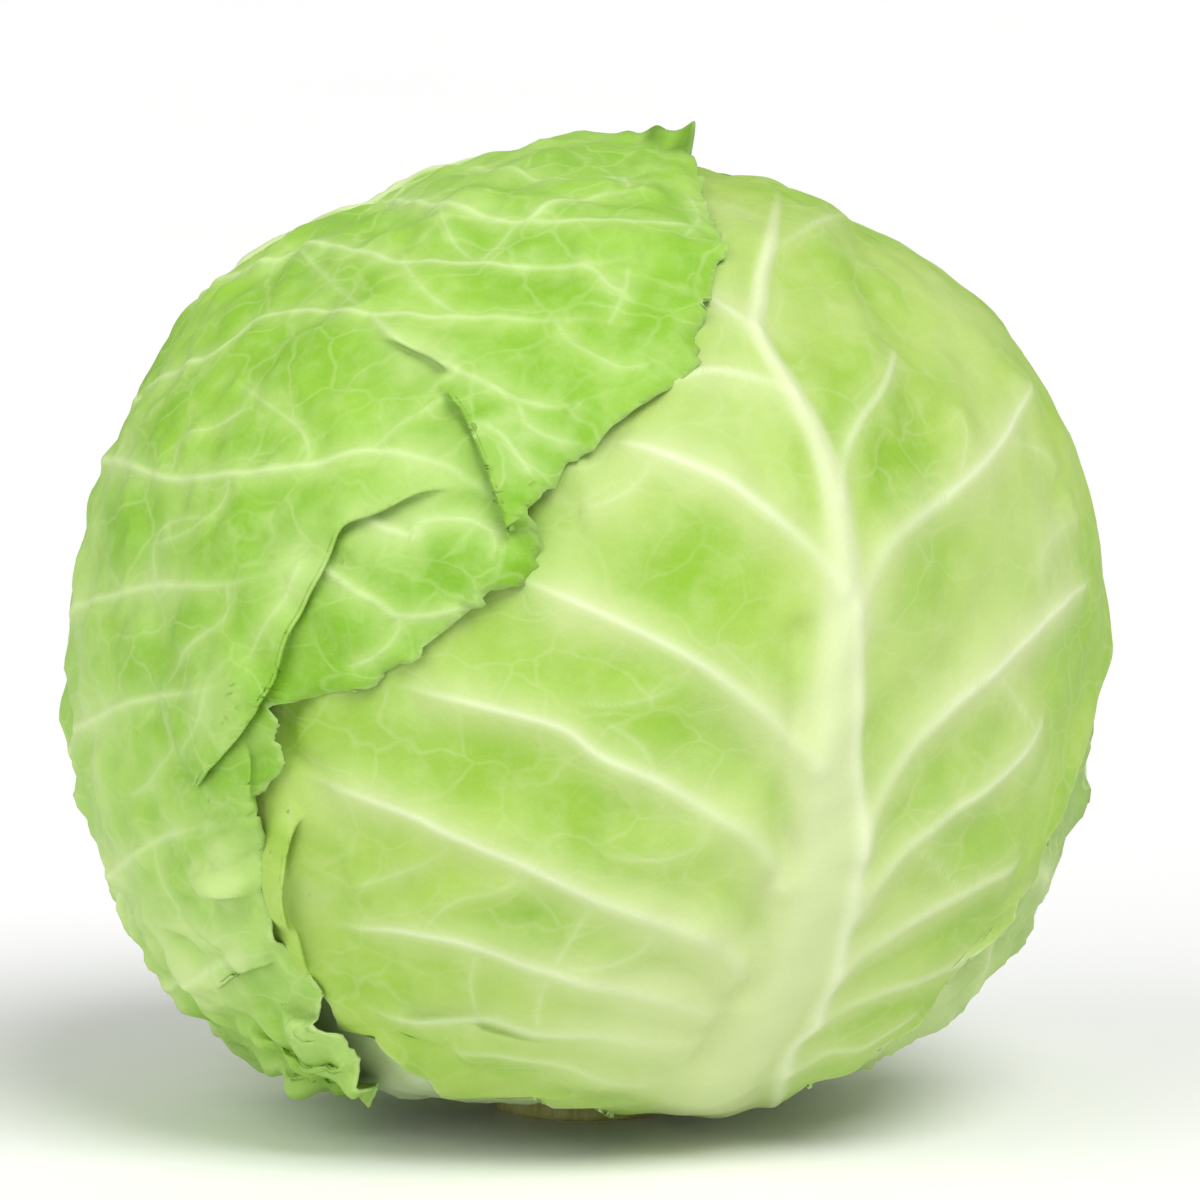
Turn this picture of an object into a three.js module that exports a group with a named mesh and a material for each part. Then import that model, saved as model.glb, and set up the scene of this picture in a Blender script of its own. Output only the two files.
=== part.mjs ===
// A head of green cabbage, as cut and trimmed, standing on its stem end.
// Five wrapper leaves, each one thin curved solid with a raised midrib and side veins,
// lie over one another round a dense heart. The heart sits on the cut stem.
// Millimetres, +Z up. The origin is the middle of the flat spot that the head rests on.
// Directions from the head's centre are [azimuth, elevation] in degrees: azimuth 0 is the
// front (-Y) and 90 the right (+X), elevation 90 is straight up.
import * as THREE from "three";

// Driving dimensions
const HEAD_CENTRE_Z = 87;
const STEM_RADIUS = 17;
const STEM_GAP = 0.6;
const FIRST_GAP = 1.3;
const LEAF_PITCH = 2.3;
const BLADE_THICKNESS = 0.8;
const SURFACE_CLEARANCE = 0.35;

const rad = THREE.MathUtils.degToRad;
const smooth = THREE.MathUtils.smoothstep;
const clamp = THREE.MathUtils.clamp;
const lerp = THREE.MathUtils.lerp;

// The outer profile of the whole head: radius about the centre at every tenth degree of
// elevation, from straight down to straight up, on the left side and on the right side.
const PROFILE_STEP = 10;
const PROFILE_LEFT = [
  87, 88, 92.5, 98, 99.2, 98.8, 98, 97, 94.7, 93.2, 92.2, 91.8, 90.7, 90.2, 89.3, 88.4, 87.8, 88.2, 88.6,
];
const PROFILE_RIGHT = [
  87, 88, 92, 96, 98, 98.4, 97.4, 96.4, 94.4, 92.8, 92.7, 92.9, 93, 91.6, 90.4, 89.8, 88.6, 88.2, 88.6,
];

// The wrapper leaves take this much of it, and more where many of them meet.
const WRAPPER_DEPTH = 5.2;
const WRAPPER_DEPTH_BELOW = 5;
const BELOW_FROM = 45;
const BELOW_BY = 72;
const WRAPPER_DEPTH_ABOVE = 5.6;
const ABOVE_FROM = 35;
const ABOVE_BY = 75;

function direction([azimuth, elevation]) {
  const a = rad(azimuth);
  const e = rad(elevation);
  return new THREE.Vector3(Math.sin(a) * Math.cos(e), -Math.cos(a) * Math.cos(e), Math.sin(e));
}

function alongProfile(profile, elevation) {
  const place = (elevation + 90) / PROFILE_STEP;
  const k = clamp(Math.floor(place), 0, profile.length - 2);
  return lerp(profile[k], profile[k + 1], place - k);
}

// Radius of the heart, on which every wrapper leaf is laid.
function heartRadius(d) {
  const elevation = THREE.MathUtils.radToDeg(Math.asin(clamp(d.z, -1, 1)));
  const level = Math.hypot(d.x, d.y);
  const rightShare = level > 0 ? 0.5 + (0.5 * d.x) / Math.sqrt(level) : 0.5;
  const [left, right] = [PROFILE_LEFT, PROFILE_RIGHT].map((profile) => alongProfile(profile, elevation));
  const below = WRAPPER_DEPTH_BELOW * smooth(-elevation, BELOW_FROM, BELOW_BY);
  const above = WRAPPER_DEPTH_ABOVE * smooth(elevation, ABOVE_FROM, ABOVE_BY);
  return lerp(left, right, rightShare) - WRAPPER_DEPTH - below - above;
}

// The nets of the leaves. Each row follows one pair of side veins, from the margin on the
// left through the midrib to the margin on the right: [margin, half way, midrib, half way, margin].

// The pale leaf in front, whose broad midrib climbs right of the middle.
const FRONT_NET = [
  [[-35, -76], [0, -77], [27, -78], [50, -77], [85, -76]],
  [[-14, -58], [8, -56], [25, -55], [38, -55], [54, -55]],
  [[-34, -44], [-4, -43], [27, -44], [46, -46], [60, -43]],
  [[-39, -29], [-6, -33], [29, -38], [45, -38], [64, -33]],
  [[-43, -12], [-5, -22], [30, -31], [48, -28], [74, -21]],
  [[-44, 6], [-2, -7], [31, -20], [52, -14], [86, -11]],
  [[-38, 21], [-2, 8], [31, -8], [54, 0], [97, 4]],
  [[-30, 40], [6, 25], [31, 10], [58, 22], [104, 25]],
  [[-20, 58], [12, 40], [30, 26], [56, 38], [108, 46]],
  [[-8, 74], [18, 54], [27, 40], [54, 53], [112, 64]],
  [[120, 84], [40, 72], [40, 57], [72, 64], [115, 72]],
  [[135, 77], [100, 76], [72, 70], [92, 70], [118, 72]],
];

// The green leaf on the left, outermost of all, wrapped over the top and part of the front.
const LEFT_NET = [
  [[-170, -77], [-140, -77], [-112, -78], [-85, -77], [-55, -76]],
  [[-165, -62], [-138, -61], [-112, -63], [-80, -62], [-49, -60]],
  [[-172, -45], [-142, -47], [-112, -50], [-78, -50], [-45, -49]],
  [[-180, -30], [-146, -33], [-112, -38], [-76, -38], [-39, -34]],
  [[-186, -14], [-149, -18], [-112, -25], [-77, -25], [-40, -19]],
  [[-190, 2], [-151, -4], [-112, -11], [-74, -8], [-36, -6]],
  [[-192, 18], [-152, 11], [-112, 3], [-64, 9], [-18, 3]],
  [[-192, 32], [-152, 25], [-112, 15], [-60, 23], [-5, 14]],
  [[-192, 45], [-152, 39], [-112, 28], [-60, 41], [2, 28]],
  [[-192, 57], [-152, 52], [-112, 40], [-50, 51], [16, 37]],
  [[-194, 67], [-154, 63], [-113, 52], [-42, 59], [26, 51]],
  [[-198, 75], [-160, 74], [-115, 64], [-34, 68], [36, 62]],
  [[-205, 80], [-175, 83], [-120, 77], [-10, 81], [52, 77]],
  [[155, 79], [150, 83], [140, 86], [100, 84], [75, 81]],
];

// Leaves of which little shows have plain sheath nets: facing is the azimuth of the midrib,
// halfWidth the greatest angle from the midrib to a margin, overTop how far past the top of
// the head the tip reaches. The base clasps the stem.
const SHEATH_BASE_POLAR = 13;
const SHEATH_BASE_HALF = 10;
const SHEATH_FULLNESS = 0.9;
const SHEATH_TIP_SHARE = 0.95;
const VEIN_RISE = 20;

function sheathDirection(facing, polar, lateral) {
  const out = direction([facing, 0]);
  const side = new THREE.Vector3(-out.y, out.x, 0);
  const onMidrib = out.multiplyScalar(Math.sin(rad(polar)));
  onMidrib.z = -Math.cos(rad(polar));
  return onMidrib.multiplyScalar(Math.cos(rad(lateral))).addScaledVector(side, Math.sin(rad(lateral)));
}

function sheathNet({ facing, halfWidth, overTop, rows }) {
  const net = [];
  for (let k = 0; k < rows; k++) {
    const v = k / (rows - 1);
    const fullness = Math.sin(Math.PI * Math.min(v, SHEATH_TIP_SHARE) ** SHEATH_FULLNESS);
    const half = lerp(SHEATH_BASE_HALF, halfWidth, fullness);
    const polar = lerp(SHEATH_BASE_POLAR, 180 + overTop, v);
    const rise = VEIN_RISE * Math.sin(Math.PI * v);
    const across = [-1, -0.5, 0, 0.5, 1];
    net.push(across.map((t) => sheathDirection(facing, polar + rise * Math.abs(t), half * t)));
  }
  return net;
}

// Catmull-Rom spline through a column of the net, at a fractional row.
function downColumn(net, column, row) {
  const k = Math.min(Math.floor(row), net.length - 2);
  const at = (i) => net[clamp(i, 0, net.length - 1)][column];
  const t = row - k;
  const weights = [
    (-t + 2 * t * t - t * t * t) / 2,
    (2 - 5 * t * t + 3 * t * t * t) / 2,
    (t + 4 * t * t - 3 * t * t * t) / 2,
    (-t * t + t * t * t) / 2,
  ];
  const out = new THREE.Vector3();
  weights.forEach((weight, i) => out.addScaledVector(at(k - 1 + i), weight));
  return out.normalize();
}

// The margins run in and out in waves, as a share of the half leaf's width.
const WAVE_DEPTH = 0.022;
const WAVES_A_ROW = 0.72;

// Direction of the leaf at u across, from -1 at the left margin to 1 at the right, on a fractional row.
function leafDirection(net, u, row) {
  const onMidrib = downColumn(net, 2, row);
  const halfWay = downColumn(net, u < 0 ? 1 : 3, row);
  const onMargin = downColumn(net, u < 0 ? 0 : 4, row);
  const phase = 2 * Math.PI * WAVES_A_ROW * row + (u < 0 ? 1 : 0);
  const t = Math.abs(u) * (1 + WAVE_DEPTH * Math.sin(phase) * smooth(row, 0.5, 2));
  return onMidrib
    .multiplyScalar((2 * t - 1) * (t - 1))
    .addScaledVector(halfWay, 4 * t * (1 - t))
    .addScaledVector(onMargin, t * (2 * t - 1))
    .normalize();
}

// A flat map about a leaf's middle, true to distance from there.
const MAP_RADIUS = 90;

function mapAbout(axis) {
  const across = new THREE.Vector3(0, 0, 1).cross(axis).normalize();
  const up = axis.clone().cross(across);
  return (d) => {
    const x = d.dot(across);
    const y = d.dot(up);
    const scale = (MAP_RADIUS * axis.angleTo(d)) / Math.max(Math.hypot(x, y), 1e-9);
    return [x * scale, y * scale];
  };
}

// Where a point lies by a stretch from a to b: how far off, how far along, and on which side.
function besideStretch([x, y], [ax, ay], [bx, by]) {
  const [dx, dy] = [bx - ax, by - ay];
  const long = Math.hypot(dx, dy);
  const along = clamp(((x - ax) * dx + (y - ay) * dy) / Math.max(long * long, 1e-12), 0, 1);
  const off = Math.hypot(x - ax - along * dx, y - ay - along * dy);
  return { off, along: along * long, long, onLeft: dx * (y - ay) > dy * (x - ax) };
}

// Signed distance in mm from a direction to the outline of a leaf, negative inside it.
function outlineDistance(leaf, d) {
  const [x, y] = leaf.map(d);
  let nearest = Infinity;
  let inside = false;
  leaf.outline.forEach((b, i) => {
    const a = leaf.outline.at(i - 1);
    nearest = Math.min(nearest, besideStretch([x, y], a, b).off);
    const crosses = a[1] > y !== b[1] > y && x < ((b[0] - a[0]) * (y - a[1])) / (b[1] - a[1]) + a[0];
    if (crosses) inside = !inside;
  });
  return inside ? -nearest : nearest;
}

// Pleats of the left leaf, whose front half is too wide for the head and folds over itself.
// Each is the line of its lip, whose raised side is on the left of the way along it.
const PLEAT_REACH = 26;
const PLEAT_LIP = 6;
const PLEAT_TAPER = 16;
const LONG_LIP = [[-48, -17], [-46, -13], [-40, -6], [-36, 0], [-34, 8], [-31, 14], [-23, 21], [-13, 24]];
const SHORT_LIP = [[-20, 35], [-15, 31], [-12, 25], [-9, 20], [-6, 14]];
const LEFT_PLEATS = [
  { height: 3.2, line: LONG_LIP },
  { height: 2.4, line: SHORT_LIP },
];

// How far the pleats raise a leaf at a direction, in mm.
function pleatLift(leaf, d) {
  let lift = 0;
  for (const pleat of leaf.pleats) {
    const line = pleat.line.map((p) => leaf.map(direction(p)));
    let best = { off: Infinity };
    let whole = 0;
    for (let i = 0; i + 1 < line.length; i++) {
      const stretch = besideStretch(leaf.map(d), line[i], line[i + 1]);
      if (stretch.off < best.off) best = { ...stretch, run: whole + stretch.along };
      whole += stretch.long;
    }
    const ends = smooth(best.run, 0, PLEAT_TAPER) * smooth(whole - best.run, 0, PLEAT_TAPER);
    const reach = best.onLeft ? PLEAT_REACH : PLEAT_LIP;
    lift = Math.max(lift, pleat.height * ends * (1 - smooth(best.off, 0, reach)));
  }
  return lift;
}

// The leaves from the innermost to the outermost. ribHalf and ribHeight are the midrib's half
// width and height at the base, which it loses towards the tip. fine is the rows of the mesh
// between two veins and halfColumns its columns on each side of the midrib.
const INNER_LEAF = {
  colour: "#cfe3a6",
  ribHalf: 9,
  ribHeight: 1.2,
  veinHeight: 0.4,
  fine: 3,
  halfColumns: 6,
  pleats: [],
};
const LEAVES = [
  {
    ...INNER_LEAF,
    name: "leaf_inner_right",
    net: sheathNet({ facing: 97, halfWidth: 74, overTop: 12, rows: 9 }),
  },
  {
    ...INNER_LEAF,
    name: "leaf_inner_front",
    net: sheathNet({ facing: -46, halfWidth: 74, overTop: 14, rows: 9 }),
  },
  {
    name: "leaf_back",
    net: sheathNet({ facing: 166, halfWidth: 80, overTop: 26, rows: 11 }),
    colour: "#b5d97e",
    ribHalf: 9,
    ribHeight: 3.5,
    veinHeight: 0.9,
    fine: 3,
    halfColumns: 7,
    pleats: [],
  },
  {
    name: "leaf_front",
    net: FRONT_NET.map((row) => row.map(direction)),
    colour: "#b9d884",
    ribHalf: 11,
    ribHeight: 5.5,
    veinHeight: 1.1,
    fine: 3,
    halfColumns: 7,
    pleats: [],
  },
  {
    name: "leaf_left",
    net: LEFT_NET.map((row) => row.map(direction)),
    colour: "#a6d468",
    ribHalf: 9,
    ribHeight: 4,
    veinHeight: 0.9,
    fine: 3,
    halfColumns: 9,
    pleats: LEFT_PLEATS,
    frilled: true,
  },
];

// Each leaf's outline in its own map: up the right margin, over the tip, down the left, over the base.
const OUTLINE_STEPS_A_ROW = 3;
const OUTLINE_ENDS = [-0.6, 0, 0.6];

function traceOutline(leaf) {
  const last = leaf.net.length - 1;
  leaf.map = mapAbout(leafDirection(leaf.net, 0, last / 2));
  const rows = Array.from({ length: last * OUTLINE_STEPS_A_ROW + 1 }, (_, i) => i / OUTLINE_STEPS_A_ROW);
  const ring = rows.map((row) => leafDirection(leaf.net, 1, row));
  OUTLINE_ENDS.forEach((u) => ring.push(leafDirection(leaf.net, -u, last)));
  rows.reverse().forEach((row) => ring.push(leafDirection(leaf.net, -1, row)));
  OUTLINE_ENDS.forEach((u) => ring.push(leafDirection(leaf.net, u, 0)));
  leaf.outline = ring.map(leaf.map);
}
LEAVES.forEach(traceOutline);

// How much a leaf lifts what lies over it: all of a pitch within and just round its outline,
// and nothing further out.
const LIFT_KEEPS_TO = 10;
const LIFT_ENDS_AT = 26;
const lifts = (leaf, d) => 1 - smooth(outlineDistance(leaf, d), LIFT_KEEPS_TO, LIFT_ENDS_AT);

// How free a place is of the leaves over it: midribs and veins stand proud only where it is 1.
const BARE_FROM = 9;
const BARE_BY = 17;
function bareness(layer, d) {
  const shares = LEAVES.slice(layer + 1).map((over) => smooth(outlineDistance(over, d), BARE_FROM, BARE_BY));
  return Math.min(1, ...shares);
}

// Height of the midrib over the blade: full at the base, low under other leaves, none at the tip.
const RIB_WIDTH_FADE = 0.82;
const RIB_HEIGHT_FADE = 0.75;
const RIB_SHARE_COVERED = 0.15;
const RIB_ENDS_WITHIN = 0.15;
const ribHalfWidth = (leaf, v) => leaf.ribHalf * (1 - RIB_WIDTH_FADE * v);

function midribHeight(leaf, d, row, bare) {
  const v = row / (leaf.net.length - 1);
  const fromCrest = (leafDirection(leaf.net, 0, row).angleTo(d) * MAP_RADIUS) / ribHalfWidth(leaf, v);
  const profile = Math.max(0, 1 - fromCrest * fromCrest) * lerp(RIB_SHARE_COVERED, 1, bare);
  return leaf.ribHeight * (1 - RIB_HEIGHT_FADE * v) * profile * smooth(1 - v, 0, RIB_ENDS_WITHIN);
}

// Height of the side veins: each runs along a row, from the midrib to where it thins out.
const VEIN_HALF_ROWS = 0.2;
const VEIN_RISES_BY = 0.1;
const VEIN_THINS_FROM = 0.6;

function veinHeight(leaf, t, row, bare) {
  const fromCrest = (row - Math.round(row)) / VEIN_HALF_ROWS;
  const along = smooth(t, 0, VEIN_RISES_BY) * (1 - smooth(t, VEIN_THINS_FROM, 1));
  return leaf.veinHeight * Math.exp(-fromCrest * fromCrest) * along * bare * smooth(row, 0.5, 1.5);
}

// The free margins curl up in waves from what they lie on.
const MARGIN_CURL = 1.6;
const CURLS_A_ROW = 0.8;
const CURL_FROM = 0.86;

function marginCurl(leaf, u, row, bare) {
  const wave = 0.5 + 0.5 * Math.sin(2 * Math.PI * CURLS_A_ROW * row + (u > 0 ? 0 : 2));
  const awayFromBase = smooth(row / (leaf.net.length - 1), 0.1, 0.3);
  return MARGIN_CURL * wave * bare * smooth(Math.abs(u), CURL_FROM, 1) * awayFromBase;
}

// The frilled corner that stands up where the left leaf's margin crosses the top.
const FRILL_HEIGHT = 4;
const FRILL_AT = direction([55, 79]);
const FRILL_RADIUS = 12;

function frillLift(leaf, d) {
  if (!leaf.frilled) return 0;
  return FRILL_HEIGHT * (1 - smooth(FRILL_AT.angleTo(d) * MAP_RADIUS, 0, FRILL_RADIUS));
}

// Radii of the two faces of a leaf at u across and a fractional row.
function leafPoint(leaf, layer, u, row) {
  const d = leafDirection(leaf.net, u, row);
  const layersBelow = LEAVES.slice(0, layer).reduce((sum, under) => sum + lifts(under, d), 0);
  const bare = bareness(layer, d);
  const bed = heartRadius(d) + FIRST_GAP + LEAF_PITCH * layersBelow;
  const inner = bed + marginCurl(leaf, u, row, bare) + frillLift(leaf, d) + pleatLift(leaf, d);
  const relief = midribHeight(leaf, d, row, bare) + veinHeight(leaf, Math.abs(u), row, bare);
  return { d, inner, outer: inner + BLADE_THICKNESS + relief };
}

// Columns of the mesh: the crest, flank and foot of the midrib, then even steps to the margin.
const WIDEST_RIB_SHARE = 0.35;

function columnsAt(leaf, row) {
  const ribHalf = ribHalfWidth(leaf, row / (leaf.net.length - 1));
  const crest = leafDirection(leaf.net, 0, row);
  const sideColumns = (side) => {
    const halfLeaf = crest.angleTo(leafDirection(leaf.net, side, row)) * MAP_RADIUS;
    const foot = Math.min(ribHalf / halfLeaf, WIDEST_RIB_SHARE);
    const out = [foot * 0.5, foot];
    for (let k = 1; k <= leaf.halfColumns; k++) out.push(lerp(foot, 1, k / leaf.halfColumns));
    return out.map((t) => t * side);
  };
  return [...sideColumns(-1).reverse(), 0, ...sideColumns(1)];
}

// A place in the frame, kept just clear of the surface that the head stands on.
function place(d, radius, floor) {
  const p = d.clone().multiplyScalar(radius);
  p.z = Math.max(p.z + HEAD_CENTRE_Z, floor);
  return p;
}

// One leaf as a closed solid: an outer and an inner sheet of the same grid, joined round the rim.
function leafGeometry(leaf, layer) {
  const rowCount = (leaf.net.length - 1) * leaf.fine + 1;
  const outer = [];
  const inner = [];
  for (let i = 0; i < rowCount; i++) {
    const row = i / leaf.fine;
    for (const u of columnsAt(leaf, row)) {
      const point = leafPoint(leaf, layer, u, row);
      outer.push(place(point.d, point.outer, SURFACE_CLEARANCE));
      inner.push(place(point.d, point.inner, SURFACE_CLEARANCE + BLADE_THICKNESS));
    }
  }
  const columnCount = outer.length / rowCount;
  const at = (i, j) => i * columnCount + j;
  const under = outer.length;
  const faces = [];
  for (let i = 0; i < rowCount - 1; i++) {
    for (let j = 0; j < columnCount - 1; j++) {
      const [a, b, c, d] = [at(i, j), at(i, j + 1), at(i + 1, j + 1), at(i + 1, j)];
      faces.push(a, b, c, a, c, d);
      faces.push(under + a, under + c, under + b, under + a, under + d, under + c);
    }
  }
  const rim = [];
  for (let j = 0; j < columnCount - 1; j++) rim.push(at(0, j));
  for (let i = 0; i < rowCount - 1; i++) rim.push(at(i, columnCount - 1));
  for (let j = columnCount - 1; j > 0; j--) rim.push(at(rowCount - 1, j));
  for (let i = rowCount - 1; i > 0; i--) rim.push(at(i, 0));
  rim.forEach((a, k) => {
    const b = rim[(k + 1) % rim.length];
    faces.push(a, under + b, b, a, under + a, under + b);
  });
  return solidGeometry([...outer, ...inner], faces);
}

function solidGeometry(points, faces) {
  const geometry = new THREE.BufferGeometry();
  const numbers = points.flatMap((p) => [p.x, p.y, p.z]);
  geometry.setAttribute("position", new THREE.Float32BufferAttribute(numbers, 3));
  geometry.setIndex(faces);
  geometry.computeVertexNormals();
  return geometry;
}

// The heart: the tightly folded young leaves as one dense body, with the margins of its outer
// leaves standing as low steps that climb round it.
const HEART_RINGS = 22;
const HEART_SPOKES = 36;
const HEART_LEAVES = 3;
const HEART_STEP_HEIGHT = 0.9;
const HEART_STEP_SLANT = 1.4;
const HEART_RECESS_BELOW = 2.6;

function heartPoint(azimuth, elevation) {
  const d = direction([azimuth, elevation]);
  const turn = ((azimuth + HEART_STEP_SLANT * elevation + 720) / 360) * HEART_LEAVES;
  const step = HEART_STEP_HEIGHT * (1 - (turn - Math.floor(turn))) * smooth(elevation, -50, -20);
  const recess = HEART_RECESS_BELOW * smooth(-elevation, 20, 50) * smooth(90 + elevation, 0, 15);
  const radius = heartRadius(d) - step - recess;
  return d.multiplyScalar(radius).add(new THREE.Vector3(0, 0, HEAD_CENTRE_Z));
}

function heartGeometry() {
  const points = [heartPoint(0, -90)];
  for (let i = 1; i < HEART_RINGS; i++) {
    for (let j = 0; j < HEART_SPOKES; j++) {
      points.push(heartPoint((360 * j) / HEART_SPOKES, -90 + (180 * i) / HEART_RINGS));
    }
  }
  const top = points.length;
  points.push(heartPoint(0, 90));
  const at = (i, j) => 1 + (i - 1) * HEART_SPOKES + (j % HEART_SPOKES);
  const faces = [];
  for (let j = 0; j < HEART_SPOKES; j++) {
    faces.push(0, at(1, j + 1), at(1, j));
    for (let i = 1; i < HEART_RINGS - 1; i++) {
      const [a, b, c, d] = [at(i, j), at(i, j + 1), at(i + 1, j + 1), at(i + 1, j)];
      faces.push(a, b, c, a, c, d);
    }
    faces.push(at(HEART_RINGS - 1, j), at(HEART_RINGS - 1, j + 1), top);
  }
  return solidGeometry(points, faces);
}

// The stem end, cut flat: the head rests on it.
const STEM_SIDES = 28;
const STEM_CHAMFER = 1.2;
const STEM_TAPER = 1;

function stemGeometry() {
  const height = HEAD_CENTRE_Z - heartRadius(direction([0, -90])) - STEM_GAP;
  const profile = [
    [0, 0],
    [STEM_RADIUS - STEM_CHAMFER, 0],
    [STEM_RADIUS, STEM_CHAMFER],
    [STEM_RADIUS - STEM_TAPER, height],
    [0, height],
  ];
  const corners = profile.map(([x, y]) => new THREE.Vector2(x, y));
  return new THREE.LatheGeometry(corners, STEM_SIDES).rotateX(Math.PI / 2);
}

function namedMesh(name, geometry, colour, roughness) {
  const material = new THREE.MeshStandardMaterial({ color: colour, roughness, metalness: 0 });
  const mesh = new THREE.Mesh(geometry, material);
  mesh.name = name;
  return mesh;
}

const cabbage = new THREE.Group();
cabbage.add(namedMesh("stem", stemGeometry(), "#c9bf86", 0.7));
cabbage.add(namedMesh("heart", heartGeometry(), "#dfe9bd", 0.5));
LEAVES.forEach((leaf, layer) => {
  cabbage.add(namedMesh(leaf.name, leafGeometry(leaf, layer), leaf.colour, 0.45));
});

export default cabbage;
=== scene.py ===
import math

import bpy
import numpy as np
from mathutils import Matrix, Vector
from mathutils.geometry import delaunay_2d_cdt


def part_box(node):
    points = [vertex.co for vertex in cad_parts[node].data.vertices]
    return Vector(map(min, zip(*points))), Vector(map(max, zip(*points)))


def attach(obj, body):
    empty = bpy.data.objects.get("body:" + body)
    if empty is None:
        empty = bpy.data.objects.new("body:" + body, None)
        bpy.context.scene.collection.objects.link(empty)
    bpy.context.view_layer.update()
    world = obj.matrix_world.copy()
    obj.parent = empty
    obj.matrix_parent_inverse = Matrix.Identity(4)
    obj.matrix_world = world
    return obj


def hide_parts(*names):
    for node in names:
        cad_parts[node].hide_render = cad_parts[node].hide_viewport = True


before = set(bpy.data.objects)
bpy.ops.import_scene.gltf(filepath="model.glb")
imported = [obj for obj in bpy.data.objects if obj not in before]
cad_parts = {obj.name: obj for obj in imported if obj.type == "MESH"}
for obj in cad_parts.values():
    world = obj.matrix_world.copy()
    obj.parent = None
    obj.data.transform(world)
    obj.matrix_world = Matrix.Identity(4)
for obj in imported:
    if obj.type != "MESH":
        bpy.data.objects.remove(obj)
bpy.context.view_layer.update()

# The camera
# The head was photographed from a little above, through a long lens. The frame is 1200 pixels
# across, and a pixel at the middle of the head is 0.18 mm wide.
HEAD_CENTRE = np.array([0.0, 0.0, 87.0])
FRAME_PIXELS = 1200
PIXEL_MM = 0.18
CAMERA_ELEVATION = math.radians(7)
CAMERA_DISTANCE = 1600.0
HEAD_PIXEL = (586, 629)
SENSOR_MM = 36.0

VIEW_RIGHT = np.array([1.0, 0.0, 0.0])
VIEW_UP = np.array([0.0, math.sin(CAMERA_ELEVATION), math.cos(CAMERA_ELEVATION)])
VIEW_BACK = np.array([0.0, -math.cos(CAMERA_ELEVATION), math.sin(CAMERA_ELEVATION)])
AIM = (
    (FRAME_PIXELS / 2 - HEAD_PIXEL[0]) * PIXEL_MM * VIEW_RIGHT
    + (HEAD_PIXEL[1] - FRAME_PIXELS / 2) * PIXEL_MM * VIEW_UP
)
EYE = AIM + CAMERA_DISTANCE * VIEW_BACK


def to_metres(point):
    return [float(x) / 1000 for x in point]


camera_data = bpy.data.cameras.new("camera")
camera_data.sensor_width = SENSOR_MM
camera_data.lens = SENSOR_MM * CAMERA_DISTANCE / (FRAME_PIXELS * PIXEL_MM)
camera_data.clip_start = 0.1
camera_data.clip_end = 20
camera = bpy.data.objects.new("camera", camera_data)
camera.location = to_metres(EYE + HEAD_CENTRE)
camera.rotation_euler = (math.pi / 2 - CAMERA_ELEVATION, 0, 0)
bpy.context.scene.collection.objects.link(camera)
bpy.context.scene.camera = camera


def pixels_of(points):
    """Where points, in mm from the head's centre, show in the photograph's frame."""
    away = CAMERA_DISTANCE - (points - AIM) @ VIEW_BACK
    scale = CAMERA_DISTANCE / away / PIXEL_MM
    across = ((points - AIM) @ VIEW_RIGHT) * scale + FRAME_PIXELS / 2
    down = FRAME_PIXELS / 2 - ((points - AIM) @ VIEW_UP) * scale
    return np.stack([across, down], axis=-1)


# The heart
# The young leaves of a cabbage stay folded tightly round the growing tip. They make one dense,
# pale body, which the open wrapper leaves grew round, and which shows only between them.
PROFILE_ELEVATIONS = np.arange(-90, 91, 10)
PROFILE_LEFT = [
    87, 88, 92.5, 98, 99.2, 98.8, 98, 97, 94.7, 93.2, 92.2, 91.8, 90.7, 90.2, 89.3, 88.4, 87.8, 88.2, 88.6,
]
PROFILE_RIGHT = [
    87, 88, 92, 96, 98, 98.4, 97.4, 96.4, 94.4, 92.8, 92.7, 92.9, 93, 91.6, 90.4, 89.8, 88.6, 88.2, 88.6,
]
PROFILE_BLUR = 4.0
WRAPPER_DEPTH = 5.2
WRAPPER_DEPTH_BELOW = 5.0
WRAPPER_DEPTH_ABOVE = 5.6
HEART_SLACK = 0.8
HEART_STEP = 1.0
HEART_LEAVES = 3
HEART_STEP_SLANT = 1.4
HEART_RECESS_BELOW = 2.6


def directions(azimuth, elevation):
    """Unit vectors from the head's centre: azimuth 0 is the front, 90 the right."""
    a = np.radians(np.asarray(azimuth, float))
    e = np.radians(np.asarray(elevation, float))
    return np.stack([np.sin(a) * np.cos(e), -np.cos(a) * np.cos(e), np.sin(e)], axis=-1)


def smooth(value, low, high):
    """0 below low, 1 above high, and a smooth step between."""
    t = np.clip((np.asarray(value, float) - low) / (high - low), 0, 1)
    return t * t * (3 - 2 * t)


def blurred_profile(profile):
    fine = np.arange(-110, 110.5, 0.5)
    values = np.interp(fine, PROFILE_ELEVATIONS, profile)
    spread = np.exp(-0.5 * (np.arange(-20, 20.5, 0.5) / PROFILE_BLUR) ** 2)
    return fine, np.convolve(values, spread / spread.sum(), mode="same")


FINE_ELEVATIONS, FINE_LEFT = blurred_profile(PROFILE_LEFT)
FINE_RIGHT = blurred_profile(PROFILE_RIGHT)[1]


def head_radius(d):
    """The outer radius of the head in direction d, in mm."""
    elevation = np.degrees(np.arcsin(np.clip(d[..., 2], -1, 1)))
    level = np.maximum(np.hypot(d[..., 0], d[..., 1]), 1e-9)
    right_share = 0.5 + 0.5 * d[..., 0] / np.sqrt(level)
    left = np.interp(elevation, FINE_ELEVATIONS, FINE_LEFT)
    right = np.interp(elevation, FINE_ELEVATIONS, FINE_RIGHT)
    return left + (right - left) * right_share


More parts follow.
